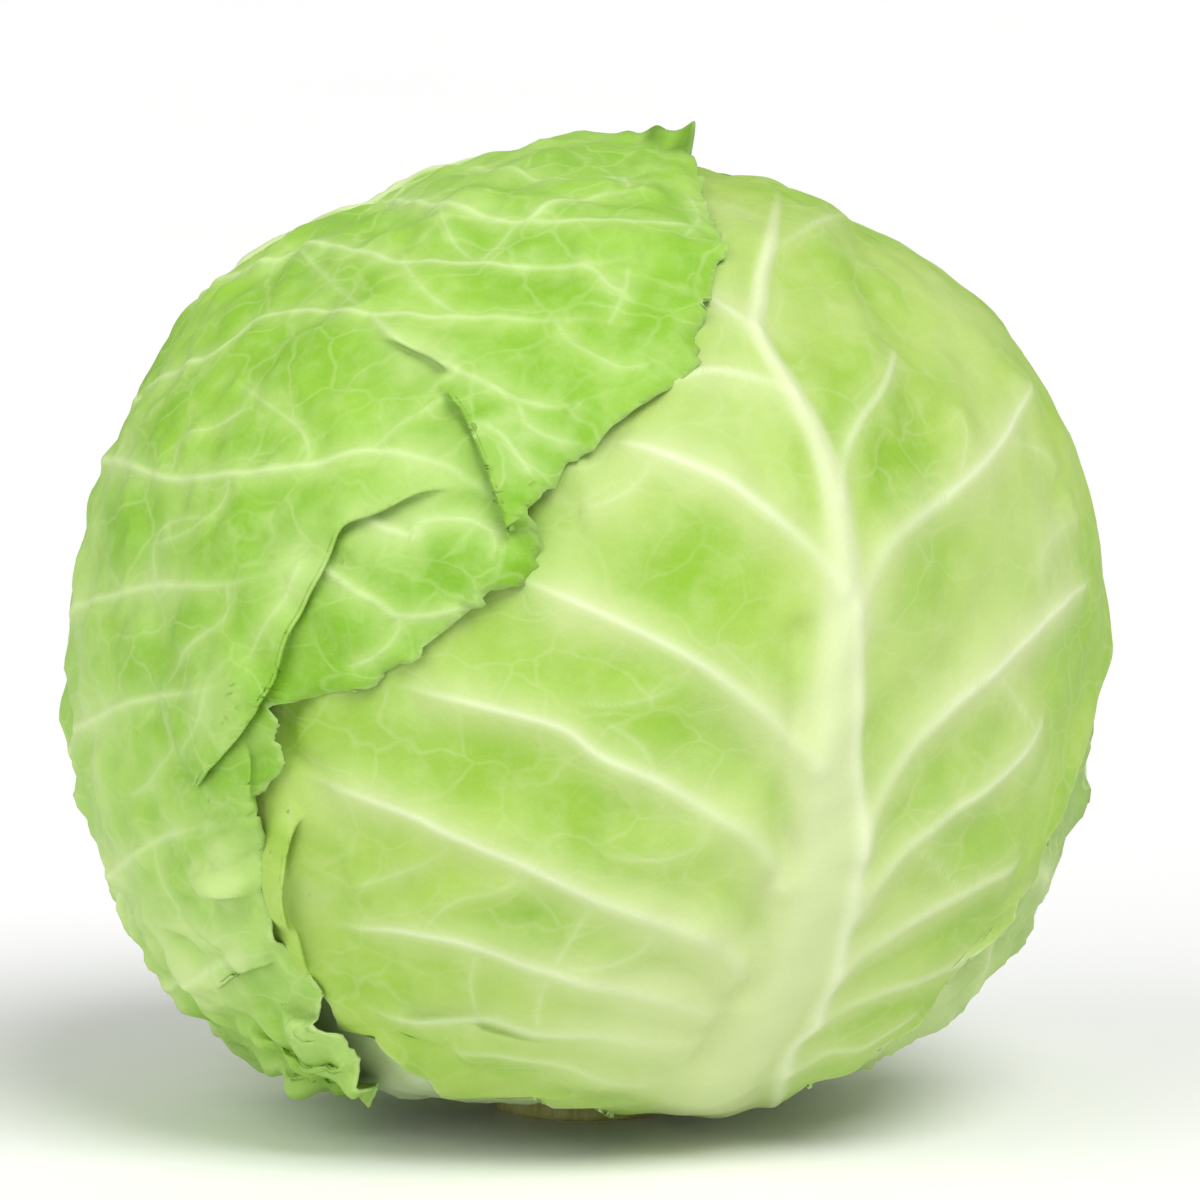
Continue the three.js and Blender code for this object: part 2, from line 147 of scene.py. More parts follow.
def heart_radius(d):
    """The radius that every wrapper leaf is laid on, in mm."""
    elevation = np.degrees(np.arcsin(np.clip(d[..., 2], -1, 1)))
    below = WRAPPER_DEPTH_BELOW * smooth(-elevation, 45, 72)
    above = WRAPPER_DEPTH_ABOVE * smooth(elevation, 35, 75)
    return head_radius(d) - WRAPPER_DEPTH - below - above


# The head's middling radius: mm along its surface for each radian.
HEAD_SCALE = 92.0


def swell(d, wavelength, seed, waves=14):
    """A smooth uneven field over the head, about -1 to 1, whose bumps lie a wavelength apart."""
    draw = np.random.default_rng(seed)
    total = np.zeros(d.shape[:-1])
    for _ in range(waves):
        way = draw.normal(size=3)
        way *= 2 * math.pi * HEAD_SCALE / wavelength / np.linalg.norm(way) * draw.uniform(0.7, 1.3)
        total += np.sin(d @ way + draw.uniform(0, 2 * math.pi))
    return total / math.sqrt(waves / 2) * 0.7


def new_piece(name, points, faces, material, attributes=None):
    """A smooth-shaded mesh from points in mm about the head's centre."""
    mesh = bpy.data.meshes.new(name)
    metres = (points + HEAD_CENTRE) / 1000
    mesh.from_pydata(metres.tolist(), [], faces)
    mesh.polygons.foreach_set("use_smooth", [True] * len(mesh.polygons))
    for key, values in (attributes or {}).items():
        layer = mesh.attributes.new(key, "FLOAT", "POINT")
        layer.data.foreach_set("value", np.asarray(values, np.float32))
    mesh.materials.append(material)
    mesh.update()
    piece = bpy.data.objects.new(name, mesh)
    bpy.context.scene.collection.objects.link(piece)
    return piece


class Finish:
    """One material, built node by node. A number or colour given to a socket is set on it."""

    def __init__(self, name):
        self.material = bpy.data.materials.new(name)
        self.material.use_nodes = True
        self.tree = self.material.node_tree
        self.shader = self.tree.nodes["Principled BSDF"]

    def node(self, kind, settings=None, **sockets):
        made = self.tree.nodes.new(kind)
        for key, value in (settings or {}).items():
            setattr(made, key, value)
        for key, value in sockets.items():
            self.join(made.inputs[key.replace("_", " ")], value)
        return made

    def join(self, socket, value):
        if isinstance(value, bpy.types.NodeSocket):
            self.tree.links.new(value, socket)
        else:
            socket.default_value = value

    def field(self, name):
        return self.node("ShaderNodeAttribute", {"attribute_name": name}).outputs["Fac"]

    def place(self):
        return self.node("ShaderNodeTexCoord").outputs["Object"]

    def noise(self, per_metre, detail=3.0, roughness=0.55, where=None):
        where = where or self.place()
        sizes = {"Scale": per_metre, "Detail": detail, "Roughness": roughness}
        made = self.node("ShaderNodeTexNoise", Vector=where, **sizes)
        return made.outputs["Fac"]

    def ramp(self, value, low, high, to_low=0.0, to_high=1.0):
        made = self.node("ShaderNodeMapRange", {"interpolation_type": "SMOOTHSTEP"}, Value=value)
        for key, number in (("From Min", low), ("From Max", high), ("To Min", to_low), ("To Max", to_high)):
            made.inputs[key].default_value = number
        return made.outputs["Result"]

    def sum(self, operation, first, second=0.0):
        made = self.node("ShaderNodeMath", {"operation": operation, "use_clamp": False})
        self.join(made.inputs[0], first)
        self.join(made.inputs[1], second)
        return made.outputs[0]

    def blend(self, share, first, second, way="MIX"):
        made = self.node("ShaderNodeMix", {"data_type": "RGBA", "blend_type": way, "clamp_factor": True})
        self.join(made.inputs[0], share)
        self.join(made.inputs[6], first)
        self.join(made.inputs[7], second)
        return made.outputs[2]

    def bump(self, height, depth_mm, under=None):
        made = self.node("ShaderNodeBump", Height=height, Distance=depth_mm / 1000, Strength=1.0)
        if under is not None:
            self.join(made.inputs["Normal"], under)
        return made.outputs["Normal"]

    def surface(self, **sockets):
        for key, value in sockets.items():
            self.join(self.shader.inputs[key.replace("_", " ")], value)
        return self.material


def paint(red, green, blue):
    """A colour as the eye reads it, 0 to 255, turned into the light values that a shader wants."""
    values = np.array([red, green, blue]) / 255
    linear = np.where(values <= 0.04045, values / 12.92, ((values + 0.055) / 1.055) ** 2.4)
    return (*[float(x) for x in linear], 1.0)


def heart_finish():
    look = Finish("heart_leaf")
    tint = look.blend(look.noise(60), paint(214, 229, 165), paint(236, 242, 206))
    skin = look.bump(look.noise(900), 0.15)
    return look.surface(Base_Color=tint, Roughness=0.45, Normal=skin)


def make_heart():
    rings, spokes = 90, 160
    elevation = np.linspace(-89.9, 89.9, rings)[:, None] * np.ones(spokes + 1)
    azimuth = np.linspace(0, 360, spokes + 1)[None, :] * np.ones((rings, 1))
    d = directions(azimuth, elevation)
    turn = (azimuth + HEART_STEP_SLANT * elevation + 720) / 360 * HEART_LEAVES
    step = HEART_STEP * smooth(turn - np.floor(turn), 0, 0.06) * smooth(elevation, -50, -20)
    recess = HEART_RECESS_BELOW * smooth(-elevation, 20, 50) * smooth(90 + elevation, 0, 15)
    radius = heart_radius(d) - HEART_SLACK - HEART_STEP + step - recess + 0.2 * swell(d, 20, 5)
    points = (d * radius[..., None])[:, :-1].reshape(-1, 3)
    rows = np.arange(rings - 1)[:, None] * spokes
    here = np.arange(spokes)[None, :]
    nextone = (here + 1) % spokes
    quads = np.stack([rows + here, rows + nextone, rows + spokes + nextone, rows + spokes + here], axis=-1)
    faces = quads.reshape(-1, 4).tolist()
    faces.append(list(range(spokes))[::-1])
    faces.append(list(range((rings - 1) * spokes, rings * spokes)))
    piece = new_piece("heart_of_young_leaves", points, faces, heart_finish())
    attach(piece, "root")
    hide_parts("heart")


make_heart()

# The stem end
# The stem is woody and pale. A knife cut it across just below the lowest leaf, so the cut face
# is flat and shows a ring of strands round a softer pith. The whole head stands on it.
STEM_RADIUS = 17.0
STEM_CHAMFER = 1.2
STEM_SIDES = 96


def stem_finish():
    look = Finish("cut_stem")
    where = look.place()
    ring = look.node("ShaderNodeTexWave", {"wave_type": "RINGS", "rings_direction": "Z"}, Vector=where)
    for key, number in (("Scale", 70.0), ("Distortion", 2.5), ("Detail", 3.0), ("Detail Scale", 2.0)):
        ring.inputs[key].default_value = number
    stretched = look.node("ShaderNodeMapping", Vector=where)
    stretched.inputs["Scale"].default_value = (1.0, 1.0, 0.12)
    strands = look.noise(900, where=stretched.outputs[0])
    tint = look.blend(ring.outputs["Fac"], paint(178, 176, 88), paint(204, 206, 134))
    tint = look.blend(look.ramp(strands, 0.4, 0.8, 0.0, 0.5), tint, paint(176, 146, 60))
    return look.surface(Base_Color=tint, Roughness=0.7, Normal=look.bump(strands, 0.5))


def make_stem():
    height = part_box("stem")[1].z * 1000
    outline = [
        (0.5, 0.0), (6.0, 0.05), (12.0, 0.0), (STEM_RADIUS - STEM_CHAMFER, 0.0), (STEM_RADIUS - 0.3, 0.4),
        (STEM_RADIUS, STEM_CHAMFER), (STEM_RADIUS - 0.2, 3.5), (STEM_RADIUS - 0.7, 6.0),
        (STEM_RADIUS - 1, height), (9.0, height), (0.5, height),
    ]
    turn = np.linspace(0, 2 * math.pi, STEM_SIDES, endpoint=False)
    rings = []
    for radius, z in outline:
        fluting = 0.25 * np.sin(turn * 17 + 0.6 * np.sin(turn * 3)) * (0.3 < z < height)
        r = radius - 0.3 + fluting if z > 0.3 and radius > 10 else radius + 0 * turn
        rings.append(np.stack([r * np.cos(turn), r * np.sin(turn), z + 0 * turn - HEAD_CENTRE[2]], axis=-1))
    points = np.concatenate(rings)
    faces = []
    for ring in range(len(outline) - 1):
        below, above = ring * STEM_SIDES, (ring + 1) * STEM_SIDES
        for side in range(STEM_SIDES):
            after = (side + 1) % STEM_SIDES
            faces.append([above + after, above + side, below + side, below + after])
    faces.append(list(range(STEM_SIDES))[::-1])
    faces.append(list(range((len(outline) - 1) * STEM_SIDES, len(outline) * STEM_SIDES)))
    piece = new_piece("stem_end", points, faces, stem_finish())
    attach(piece, "root")
    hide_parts("stem")


make_stem()

# The inner wrapper leaves
# Two thin, pale leaves cup the heart, one from the right and one from the front left. Their
# bases clasp the stem and their tips cross over the top. Little of them shows.
FIRST_GAP = 1.3
LEAF_PITCH = 2.3
BLADE = 0.8
BLADE_AT_MARGIN = 0.45
FLOOR_CLEARANCE = 0.35
ACROSS = (-1, -0.5, 0, 0.5, 1)

# About how many mm a step of 1 across and of 1 row along a leaf's net is, and how close points get.
PLAN_MM = np.array([120.0, 20.0])
CLOSEST_MM = 0.28
CLEAR_MM = 0.6
# Close points stay off the rim: the largest u, and how much of a row they keep from each end.
WITHIN_MARGIN = 0.993
FROM_ENDS = 0.05
# A leaf lies down over so many mm past the outline of each leaf below it.
LIES_DOWN_FROM = 8
LIES_DOWN_TO = 24


# In degrees: how far from straight down a leaf's base lies, half its width there, and how much
# further on its margins are than its midrib.
SHEATH_BASE = 13
SHEATH_BASE_HALF = 10
SHEATH_MARGIN_LEAD = 20


def sheath_net(facing, half_width, over_top, rows):
    """A plain cupped leaf: the azimuth it faces, the angle to its margins and how far its tip goes."""
    out = directions(facing, 0)
    side = np.array([-out[1], out[0], 0])
    net = []
    for v in np.linspace(0, 1, rows):
        half = SHEATH_BASE_HALF + (half_width - SHEATH_BASE_HALF) * math.sin(math.pi * min(v, 0.95) ** 0.9)
        polar = SHEATH_BASE + (180 + over_top - SHEATH_BASE) * v
        row = []
        for t in ACROSS:
            down = math.radians(polar + SHEATH_MARGIN_LEAD * math.sin(math.pi * v) * abs(t))
            lateral = math.radians(half * t)
            on_midrib = out * math.sin(down) - np.array([0, 0, math.cos(down)])
            row.append(on_midrib * math.cos(lateral) + side * math.sin(lateral))
        net.append(row)
    return np.array(net)


def unit(vectors):
    return vectors / np.maximum(np.linalg.norm(vectors, axis=-1, keepdims=True), 1e-12)


def down_column(net, column, row):
    """Catmull-Rom spline through one column of a leaf's net, at fractional rows."""
    last = len(net) - 1
    k = np.minimum(np.floor(row).astype(int), last - 1)
    t = (row - k)[..., None]
    before, here, after, beyond = (net[np.clip(k + i, 0, last), column] for i in (-1, 0, 1, 2))
    return unit(
        before * (-t + 2 * t**2 - t**3) / 2
        + here * (2 - 5 * t**2 + 3 * t**3) / 2
        + after * (t + 4 * t**2 - 3 * t**3) / 2
        + beyond * (-(t**2) + t**3) / 2
    )


class Leaf:
    """A leaf's net on the head. u runs from -1 at the left margin to 1 at the right, and row from
    the base to the tip."""

    def __init__(self, net, under):
        self.net = net
        self.last = len(net) - 1
        self.under = under
        self.reach_rows = np.linspace(0, self.last, 40 * self.last + 1)
        self.reach = {-1: np.ones_like(self.reach_rows), 1: np.ones_like(self.reach_rows)}
        self.soft_reach = dict(self.reach)
        self.trace()

    def directions(self, u, row):
        fine, soft = (
            np.where(u < 0, np.interp(row, self.reach_rows, of[-1]), np.interp(row, self.reach_rows, of[1]))
            for of in (self.reach, self.soft_reach)
        )
        t = np.abs(u)
        t = (t * (soft + (fine - soft) * t**6))[..., None]
        left = (u < 0)[..., None]
        on_midrib = down_column(self.net, 2, row)
        half_way = np.where(left, down_column(self.net, 1, row), down_column(self.net, 3, row))
        on_margin = np.where(left, down_column(self.net, 0, row), down_column(self.net, 4, row))
        return unit(
            on_midrib * (2 * t - 1) * (t - 1)
            + half_way * 4 * t * (1 - t)
            + on_margin * t * (2 * t - 1)
        )

    def trace(self):
        """Keeps the leaf's outline on a flat map about its middle."""
        self.middle = self.directions(np.zeros(1), np.array([self.last / 2]))[0]
        rows = np.linspace(0, self.last, 6 * self.last + 1)
        ends = np.array([-0.6, 0.0, 0.6])
        ring = [
            self.directions(np.ones_like(rows), rows),
            self.directions(-ends, np.full(3, float(self.last))),
            self.directions(-np.ones_like(rows), rows[::-1]),
            self.directions(ends, np.zeros(3)),
        ]
        self.outline = self.flat(np.concatenate(ring))

    def flat(self, d):
        across = unit(np.cross([0, 0, 1.0], self.middle))
        up = np.cross(self.middle, across)
        x, y = d @ across, d @ up
        angle = np.arccos(np.clip(d @ self.middle, -1, 1))
        scale = HEAD_SCALE * angle / np.maximum(np.hypot(x, y), 1e-9)
        return np.stack([x * scale, y * scale], axis=-1)

    def outside(self, d):
        """Distance in mm from the leaf's outline, negative inside it."""
        x, y = self.flat(d).T
        nearest = np.full(len(x), np.inf)
        inside = np.zeros(len(x), bool)
        for (ax, ay), (bx, by) in zip(self.outline, np.roll(self.outline, -1, axis=0)):
            dx, dy = bx - ax, by - ay
            along = np.clip(((x - ax) * dx + (y - ay) * dy) / (dx * dx + dy * dy + 1e-12), 0, 1)
            nearest = np.minimum(nearest, np.hypot(x - ax - along * dx, y - ay - along * dy))
            inside ^= ((ay > y) != (by > y)) & (x < dx * (y - ay) / (dy if dy else 1e-12) + ax)
        return np.where(inside, -nearest, nearest)

    def bed(self, d):
        """Radius of the leaf's inner face: the heart and the leaves that it lies on."""
        radius = heart_radius(d) + FIRST_GAP
        for leaf in self.under:
            radius = radius + LEAF_PITCH * (1 - smooth(leaf.outside(d), LIES_DOWN_FROM, LIES_DOWN_TO))
        return radius

    def find(self, d):
        """The place on the net, u and row, of each direction."""
        us, rows = np.meshgrid(np.linspace(-1, 1, 41), np.linspace(0, self.last, 8 * self.last + 1))
        us, rows = us.ravel(), rows.ravel()
        nearest = np.argmax((d @ self.directions(us, rows).T).astype(np.float32), axis=1)
        u, row = us[nearest], rows[nearest]
        small = 1e-3
        for _ in range(5):
            here = self.directions(u, row)
            by_u = (self.directions(u + small, row) - here) / small
            by_row = (self.directions(u, np.minimum(row, self.last - small) + small) - here) / small
            miss = d - here
            uu, rr, ur = (by_u**2).sum(1), (by_row**2).sum(1), (by_u * by_row).sum(1)
            mu, mr = (miss * by_u).sum(1), (miss * by_row).sum(1)
            scale = np.maximum(uu * rr - ur**2, 1e-9)
            u = np.clip(u + (mu * rr - mr * ur) / scale, -1, 1)
            row = np.clip(row + (mr * uu - mu * ur) / scale, 0, self.last)
        return np.stack([u, row], axis=-1)

    def mesh(self, u_steps, row_steps, lines=(), margin_mm=1.4):
        """Points and triangles over the leaf: a lattice, closer points beside some lines, and a rim. A
        line is its curve, the step along it and the distances from it, in mm."""
        edge_rows = np.linspace(0, self.last, int(self.last * PLAN_MM[1] / margin_mm))[:-1]
        rim = np.concatenate([
            np.stack([u_steps[:-1], 0 * u_steps[:-1]], axis=-1),
            np.stack([0 * edge_rows + 1, edge_rows], axis=-1),
            np.stack([u_steps[:0:-1], 0 * u_steps[1:] + self.last], axis=-1),
            np.stack([0 * edge_rows - 1, self.last - edge_rows], axis=-1),
        ])
        rows, us = np.meshgrid(row_steps[1:-1], u_steps[1:-1], indexing="ij")
        lattice = np.stack([us.ravel(), rows.ravel()], axis=-1)
        close = np.zeros((0, 2))
        if len(lines):
            points = []
            for curve, step, offsets in lines:
                centre = vein_curve(curve, step)
                way = unit(np.cross(centre, unit(np.gradient(centre, axis=0))))
                points += [unit(centre + way * offset / HEAD_SCALE) for offset in offsets]
            close = self.find(np.concatenate(points))
            within = np.abs(close[:, 0]) < WITHIN_MARGIN
            within &= (close[:, 1] > FROM_ENDS) & (close[:, 1] < self.last - FROM_ENDS)
            close = close[within]
            close = thinned(close * PLAN_MM, CLOSEST_MM) / PLAN_MM
            cells = np.floor(close * PLAN_MM / CLEAR_MM).astype(int) + 200
            taken = np.zeros((500, 1000), bool)
            for shift in ((0, 0), (1, 0), (-1, 0), (0, 1), (0, -1)):
                taken[cells[:, 0] + shift[0], cells[:, 1] + shift[1]] = True
            spots = np.floor(lattice * PLAN_MM / CLEAR_MM).astype(int) + 200
            lattice = lattice[~taken[spots[:, 0], spots[:, 1]]]
        plan = np.concatenate([rim, lattice, close])
        flat = [Vector(point) for point in (plan * PLAN_MM).tolist()]
        corners, _, triangles, _, _, _ = delaunay_2d_cdt(flat, [], [], 0, 1e-7)
        plan = np.array([tuple(corner) for corner in corners]) / PLAN_MM
        d = self.directions(plan[:, 0], plan[:, 1])
        return d, plan[:, 0], plan[:, 1], np.array(triangles), np.arange(len(rim))


def thinned(points, apart):
    """The points, less those that lie closer than this to one that is kept."""
    kept = {}
    chosen = []
    for i, (x, y) in enumerate(points.tolist()):
        a, b = math.floor(x / apart), math.floor(y / apart)
        cells = [(a + p, b + q) for p in (-1, 0, 1) for q in (-1, 0, 1)]
        around = [kept[cell] for cell in cells if cell in kept]
        if all((x - p) ** 2 + (y - q) ** 2 >= apart**2 for p, q in around):
            kept[(a, b)] = (x, y)
            chosen.append(i)
    return points[chosen]


def vein_curve(points, step_mm=0.6):
    """A smooth curve over the head through a few directions, as many close directions."""
    points = np.asarray(points, float)
    ends = np.vstack([points[:1], points, points[-1:]])
    out = []
    for a, b, c, d in zip(ends, ends[1:], ends[2:], ends[3:]):
        count = max(2, int(np.linalg.norm(c - b) * HEAD_SCALE / step_mm))
        t = np.linspace(0, 1, count, endpoint=False)[:, None]
        out.append(
            a * (-t + 2 * t**2 - t**3) / 2
            + b * (2 - 5 * t**2 + 3 * t**3) / 2
            + c * (t + 4 * t**2 - 3 * t**3) / 2
            + d * (-(t**2) + t**3) / 2
        )
    out.append(points[-1:])
    return unit(np.concatenate(out))


def beside(curve, d, reach_mm):
    """How far each direction is from a curve in mm, how far along it from 0 to 1, on which side
    (1 left of the way along it, -1 right), and the way across to the left. Far ones say infinity."""
    off = np.full(len(d), np.inf)
    along = np.zeros(len(d))
    side = np.ones(len(d))
    across = np.zeros((len(d), 3))
    middle = curve.mean(0)
    ball = np.linalg.norm(curve - middle, axis=1).max() + reach_mm / HEAD_SCALE
    near = np.flatnonzero(np.linalg.norm(d - middle, axis=1) < ball)
    if not len(near):
        return off, along, side, across
    tangent = unit(np.gradient(curve, axis=0))
    p = d[near]
    k = np.argmax((p @ curve.T).astype(np.float32), axis=1)
    way = tangent[k]
    gap = p - curve[k]
    run = np.einsum("ij,ij->i", gap, way)
    beyond = ((k == 0) & (run < 0)) | ((k == len(curve) - 1) & (run > 0))
    sideways = gap - run[:, None] * way
    left = np.cross(p, way)
    off[near] = np.where(beyond, np.linalg.norm(gap, axis=1), np.linalg.norm(sideways, axis=1)) * HEAD_SCALE
    length = np.linalg.norm(np.diff(curve, axis=0), axis=1).sum()
    along[near] = np.clip(k / (len(curve) - 1) + run / length, 0, 1)
    side[near] = np.where(np.einsum("ij,ij->i", sideways, left) >= 0, 1.0, -1.0)
    across[near] = unit(left)
    return off, along, side, across


# The share of its width that a vein loses by its tip, and the share of its length that it fades over.
VEIN_THINS = 0.65
VEIN_FADES = 0.25


def veins_on(d, veins, soft_root=0.0):
    """Relief in mm and two masks, a crisp line and a soft halo, of a list of veins. Each vein is its
    curve, its width and height in mm at its root, and how white it is."""
    relief = np.zeros(len(d))
    line = np.zeros(len(d))
    halo = np.zeros(len(d))
    nearest = np.full(len(d), 99.0)
    for curve, width, height, white in veins:
        off, along, _, _ = beside(vein_curve(curve), d, 16)
        taper = 1 - VEIN_THINS * along
        fade = smooth(1 - along, 0, VEIN_FADES)
        half = 0.5 * width * taper + 0.45
        ridge = np.exp(-((off / half) ** 2))
        skirt = np.exp(-((off / (half * 2.6 + 0.8)) ** 2))
        relief = np.maximum(relief, height * taper * fade * (0.65 * ridge + 0.35 * skirt))
        thin = 0.35 + 0.25 * half * (1 + soft_root * (1 - along) ** 3)
        crisp = 1 - 0.7 * soft_root * (1 - smooth(along, 0, 0.5))
        line = np.maximum(line, white * crisp * fade * np.exp(-((off / thin) ** 2)))
        halo = np.maximum(halo, white * fade * np.exp(-((off / (half * 1.8 + 1.4)) ** 2)))
        nearest = np.minimum(nearest, off + 9 * (1 - smooth(fade, 0, 0.6)))
    return relief, line, halo, nearest


def net_veins(leaf, sides=(-1, 1), first=1, width=1.6, height=0.5, white=0.8, seed=0, top=None):
    """Side veins along the rows of a leaf's net, each with two branches towards the tip."""
    draw = np.random.default_rng(seed)
    veins = []
    top = leaf.last - 1 if top is None else top
    for side in sides:
        for row in range(first, top + 1):
            us = np.linspace(0.0, 0.93, 7)
            wander = np.cumsum(draw.normal(0, 0.035, 7))
            rows = np.clip(row + wander + 0.12 * us, 0, leaf.last)
            veins.append((leaf.directions(side * us, rows), width, height, white))
            for start, lean in ((draw.uniform(0.3, 0.45), 0.62), (draw.uniform(0.55, 0.7), -0.5)):
                bu = np.linspace(start, min(start + draw.uniform(0.3, 0.42), 0.95), 5)
                base = np.interp(bu[0], us, rows)
                rise = lean * np.linspace(0, 1, 5) ** 0.8 + draw.normal(0, 0.02, 5)
                brows = np.clip(base + rise, 0, leaf.last)
                brows[0] = base
                veins.append((leaf.directions(side * bu, brows), width * 0.6, height * 0.6, white * 0.75))
    return veins


def blade_piece(name, outer, triangles, rim, thickness, material, fields):
    """A leaf's blade as a closed mesh: an outer face, and an inner face at its own distance below."""
    a, b, c = (outer[triangles[:, i]] for i in range(3))
    facing = np.cross(b - a, c - a)
    normal = np.zeros_like(outer)
    for i in range(3):
        np.add.at(normal, triangles[:, i], facing)
    inner = outer - unit(normal) * thickness[:, None]
    floor = FLOOR_CLEARANCE - HEAD_CENTRE[2]
    outer[:, 2] = np.maximum(outer[:, 2], floor)
    inner[:, 2] = np.maximum(inner[:, 2], floor + 0.5 * BLADE)
    count = len(outer)
    after = np.roll(rim, -1)
    sides = np.stack([rim, rim + count, after + count, after], axis=1)
    faces = [*triangles.tolist(), *(triangles[:, ::-1] + count).tolist(), *sides.tolist()]
    doubled = {key: np.concatenate([values, values]) for key, values in fields.items()}
    return new_piece(name, np.concatenate([outer, inner]), faces, material, doubled)


# How bright the painted shade under a fold's lip and on the frilled tip is, beside the leaf's deep green.
SHADE_OF_DEEP = 0.55


def leaf_finish(name, green, deep, pale, vein, net_share=0.5, gloss=0.55):
    """Leaf tissue: green between the veins, pale beside them, a fine net of small veins, and a
    faintly waxy skin. The fields come from the leaf's own veins."""
    look = Finish(name)
    where = look.place()
    drift = look.node("ShaderNodeTexNoise", Vector=where, Scale=70.0, Detail=2.0)
    bent = look.node("ShaderNodeMix", {"data_type": "VECTOR"})
    look.join(bent.inputs[0], 0.014)
    look.join(bent.inputs[4], where)
    look.join(bent.inputs[5], drift.outputs["Color"])
    wide = look.node("ShaderNodeMapping", Vector=bent.outputs[1])
    wide.inputs["Scale"].default_value = (1.0, 1.0, 1.7)
    cells = []
    for per_metre in (66.0, 230.0):
        made = look.node("ShaderNodeTexVoronoi", {"feature": "DISTANCE_TO_EDGE"}, Vector=wide.outputs[0])
        made.inputs["Scale"].default_value = per_metre
        cells.append(made.outputs["Distance"])
    coarse = look.ramp(cells[0], 0.0, 0.055, 1.0, 0.0)
    fine = look.ramp(cells[1], 0.0, 0.10, 1.0, 0.0)
    cloud = look.noise(38.0, detail=3.0)
    mottle = look.noise(170.0, detail=4.0)
    tint = look.blend(look.ramp(cloud, 0.38, 0.66, 0.0, 0.75), green, deep)
    tint = look.blend(look.field("deep"), tint, deep)
    tint = look.blend(look.ramp(mottle, 0.4, 0.75, 0.0, 0.25), tint, pale)
    tint = look.blend(look.field("pale"), tint, pale)
    net = look.sum("MULTIPLY", coarse, look.ramp(cloud, 0.3, 0.6, 0.3 * net_share, net_share))
    tint = look.blend(net, tint, pale)
    tint = look.blend(look.sum("MULTIPLY", fine, 0.22 * net_share), tint, pale)
    # Painted shade: where the shade field is set, the tint is darkened towards a dimmed deep green.
    tint = look.blend(look.field("shade"), tint, (*[SHADE_OF_DEEP * part for part in deep[:3]], 1.0))
    tint = look.blend(look.field("vein"), tint, vein)
    tint = look.blend(look.field("rim"), tint, vein)
    pores = look.sum("MULTIPLY", look.noise(2600.0, detail=1.0), 0.3)
    relief = look.bump(look.sum("ADD", look.noise(330.0, detail=2.0), pores), 0.16)
    rough = look.ramp(mottle, 0.3, 0.7, gloss - 0.05, gloss + 0.07)
    return look.surface(
        Base_Color=tint,
        Roughness=rough,
        Normal=relief,
        Specular_IOR_Level=0.3,
    )


def plain_leaf(
    name, node, leaf, material, spacing, seed, rib_half, rib_height, over=(), free_rise=0, ruffled=0
):
    """A leaf of which little shows: its blade, midrib and side veins from its net alone. Where no leaf
    of those over it lies, it may stand a little higher and be ruffled."""
    length = 2.6 * HEAD_SCALE
    row_steps = np.linspace(0, leaf.last, int(length / spacing))
    u_steps = np.linspace(-1, 1, int(length / spacing * 0.9) | 1)
    d, u, row, triangles, rim = leaf.mesh(u_steps, row_steps)
    v = row / leaf.last
    covered = np.ones(len(d))
    for other in over:
        covered = np.minimum(covered, smooth(other.outside(d), -1, 6))
    relief, line, halo, nearest = veins_on(d, net_veins(leaf, seed=seed))
    crest = leaf.directions(np.zeros_like(row), row)
    from_crest = np.arccos(np.clip(np.einsum("ij,ij->i", crest, d), -1, 1)) * HEAD_SCALE
    half = rib_half * (1 - 0.8 * v)
    rib = np.maximum(0, 1 - (from_crest / half) ** 2)
    high = rib_height * (1 - 0.75 * v) * rib * smooth(1 - v, 0, 0.15) * (0.15 + 0.85 * covered)
    to_margin = (1 - np.abs(u)) * 75
    wave = swell(d, 16, seed + 3)
    curl = (0.9 + 0.9 * wave) * np.exp(-to_margin / 4) * covered * smooth(v, 0.08, 0.25)
    free = np.ones(len(d))
    for other in over:
        free = np.minimum(free, smooth(other.outside(d), 0, 5))
    ruffle = ruffled * free * (1.5 * swell(d, 9, seed + 7) + 0.35 * swell(d, 6, seed + 9))
    body = 0.35 * swell(d, 26, seed + 1) * covered + relief * (0.3 + 0.7 * covered) + high + curl
    body += free_rise * free * smooth(v, 0.08, 0.2) + ruffle
    thickness = BLADE_AT_MARGIN + (BLADE - BLADE_AT_MARGIN) * smooth(to_margin, 0, 5) + high
    points = d * (leaf.bed(d) + BLADE + body)[:, None]
    fields = {
        "vein": np.clip(line + 0.85 * smooth(rib, 0.1, 0.9), 0, 1),
        "pale": np.clip(0.8 * halo + 0.9 * smooth(rib, 0, 0.5) + 0.75 * smooth(1 - v, 0.62, 0.95), 0, 1),
        "deep": 0.35 * smooth(nearest, 3, 9) * smooth(v, 0.1, 0.4),
        "rim": 0.5 * (1 - smooth(to_margin, 0, 1.2)),
        "shade": 0 * v,
    }
    piece = blade_piece(name, points, triangles, rim, thickness, material, fields)
    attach(piece, "root")
    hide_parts(node)


INNER_RIGHT = Leaf(sheath_net(97, 74, 12, 9), [])
INNER_FRONT = Leaf(sheath_net(-46, 74, 14, 9), [INNER_RIGHT])
BACK = Leaf(sheath_net(166, 80, 26, 11), [INNER_RIGHT, INNER_FRONT])

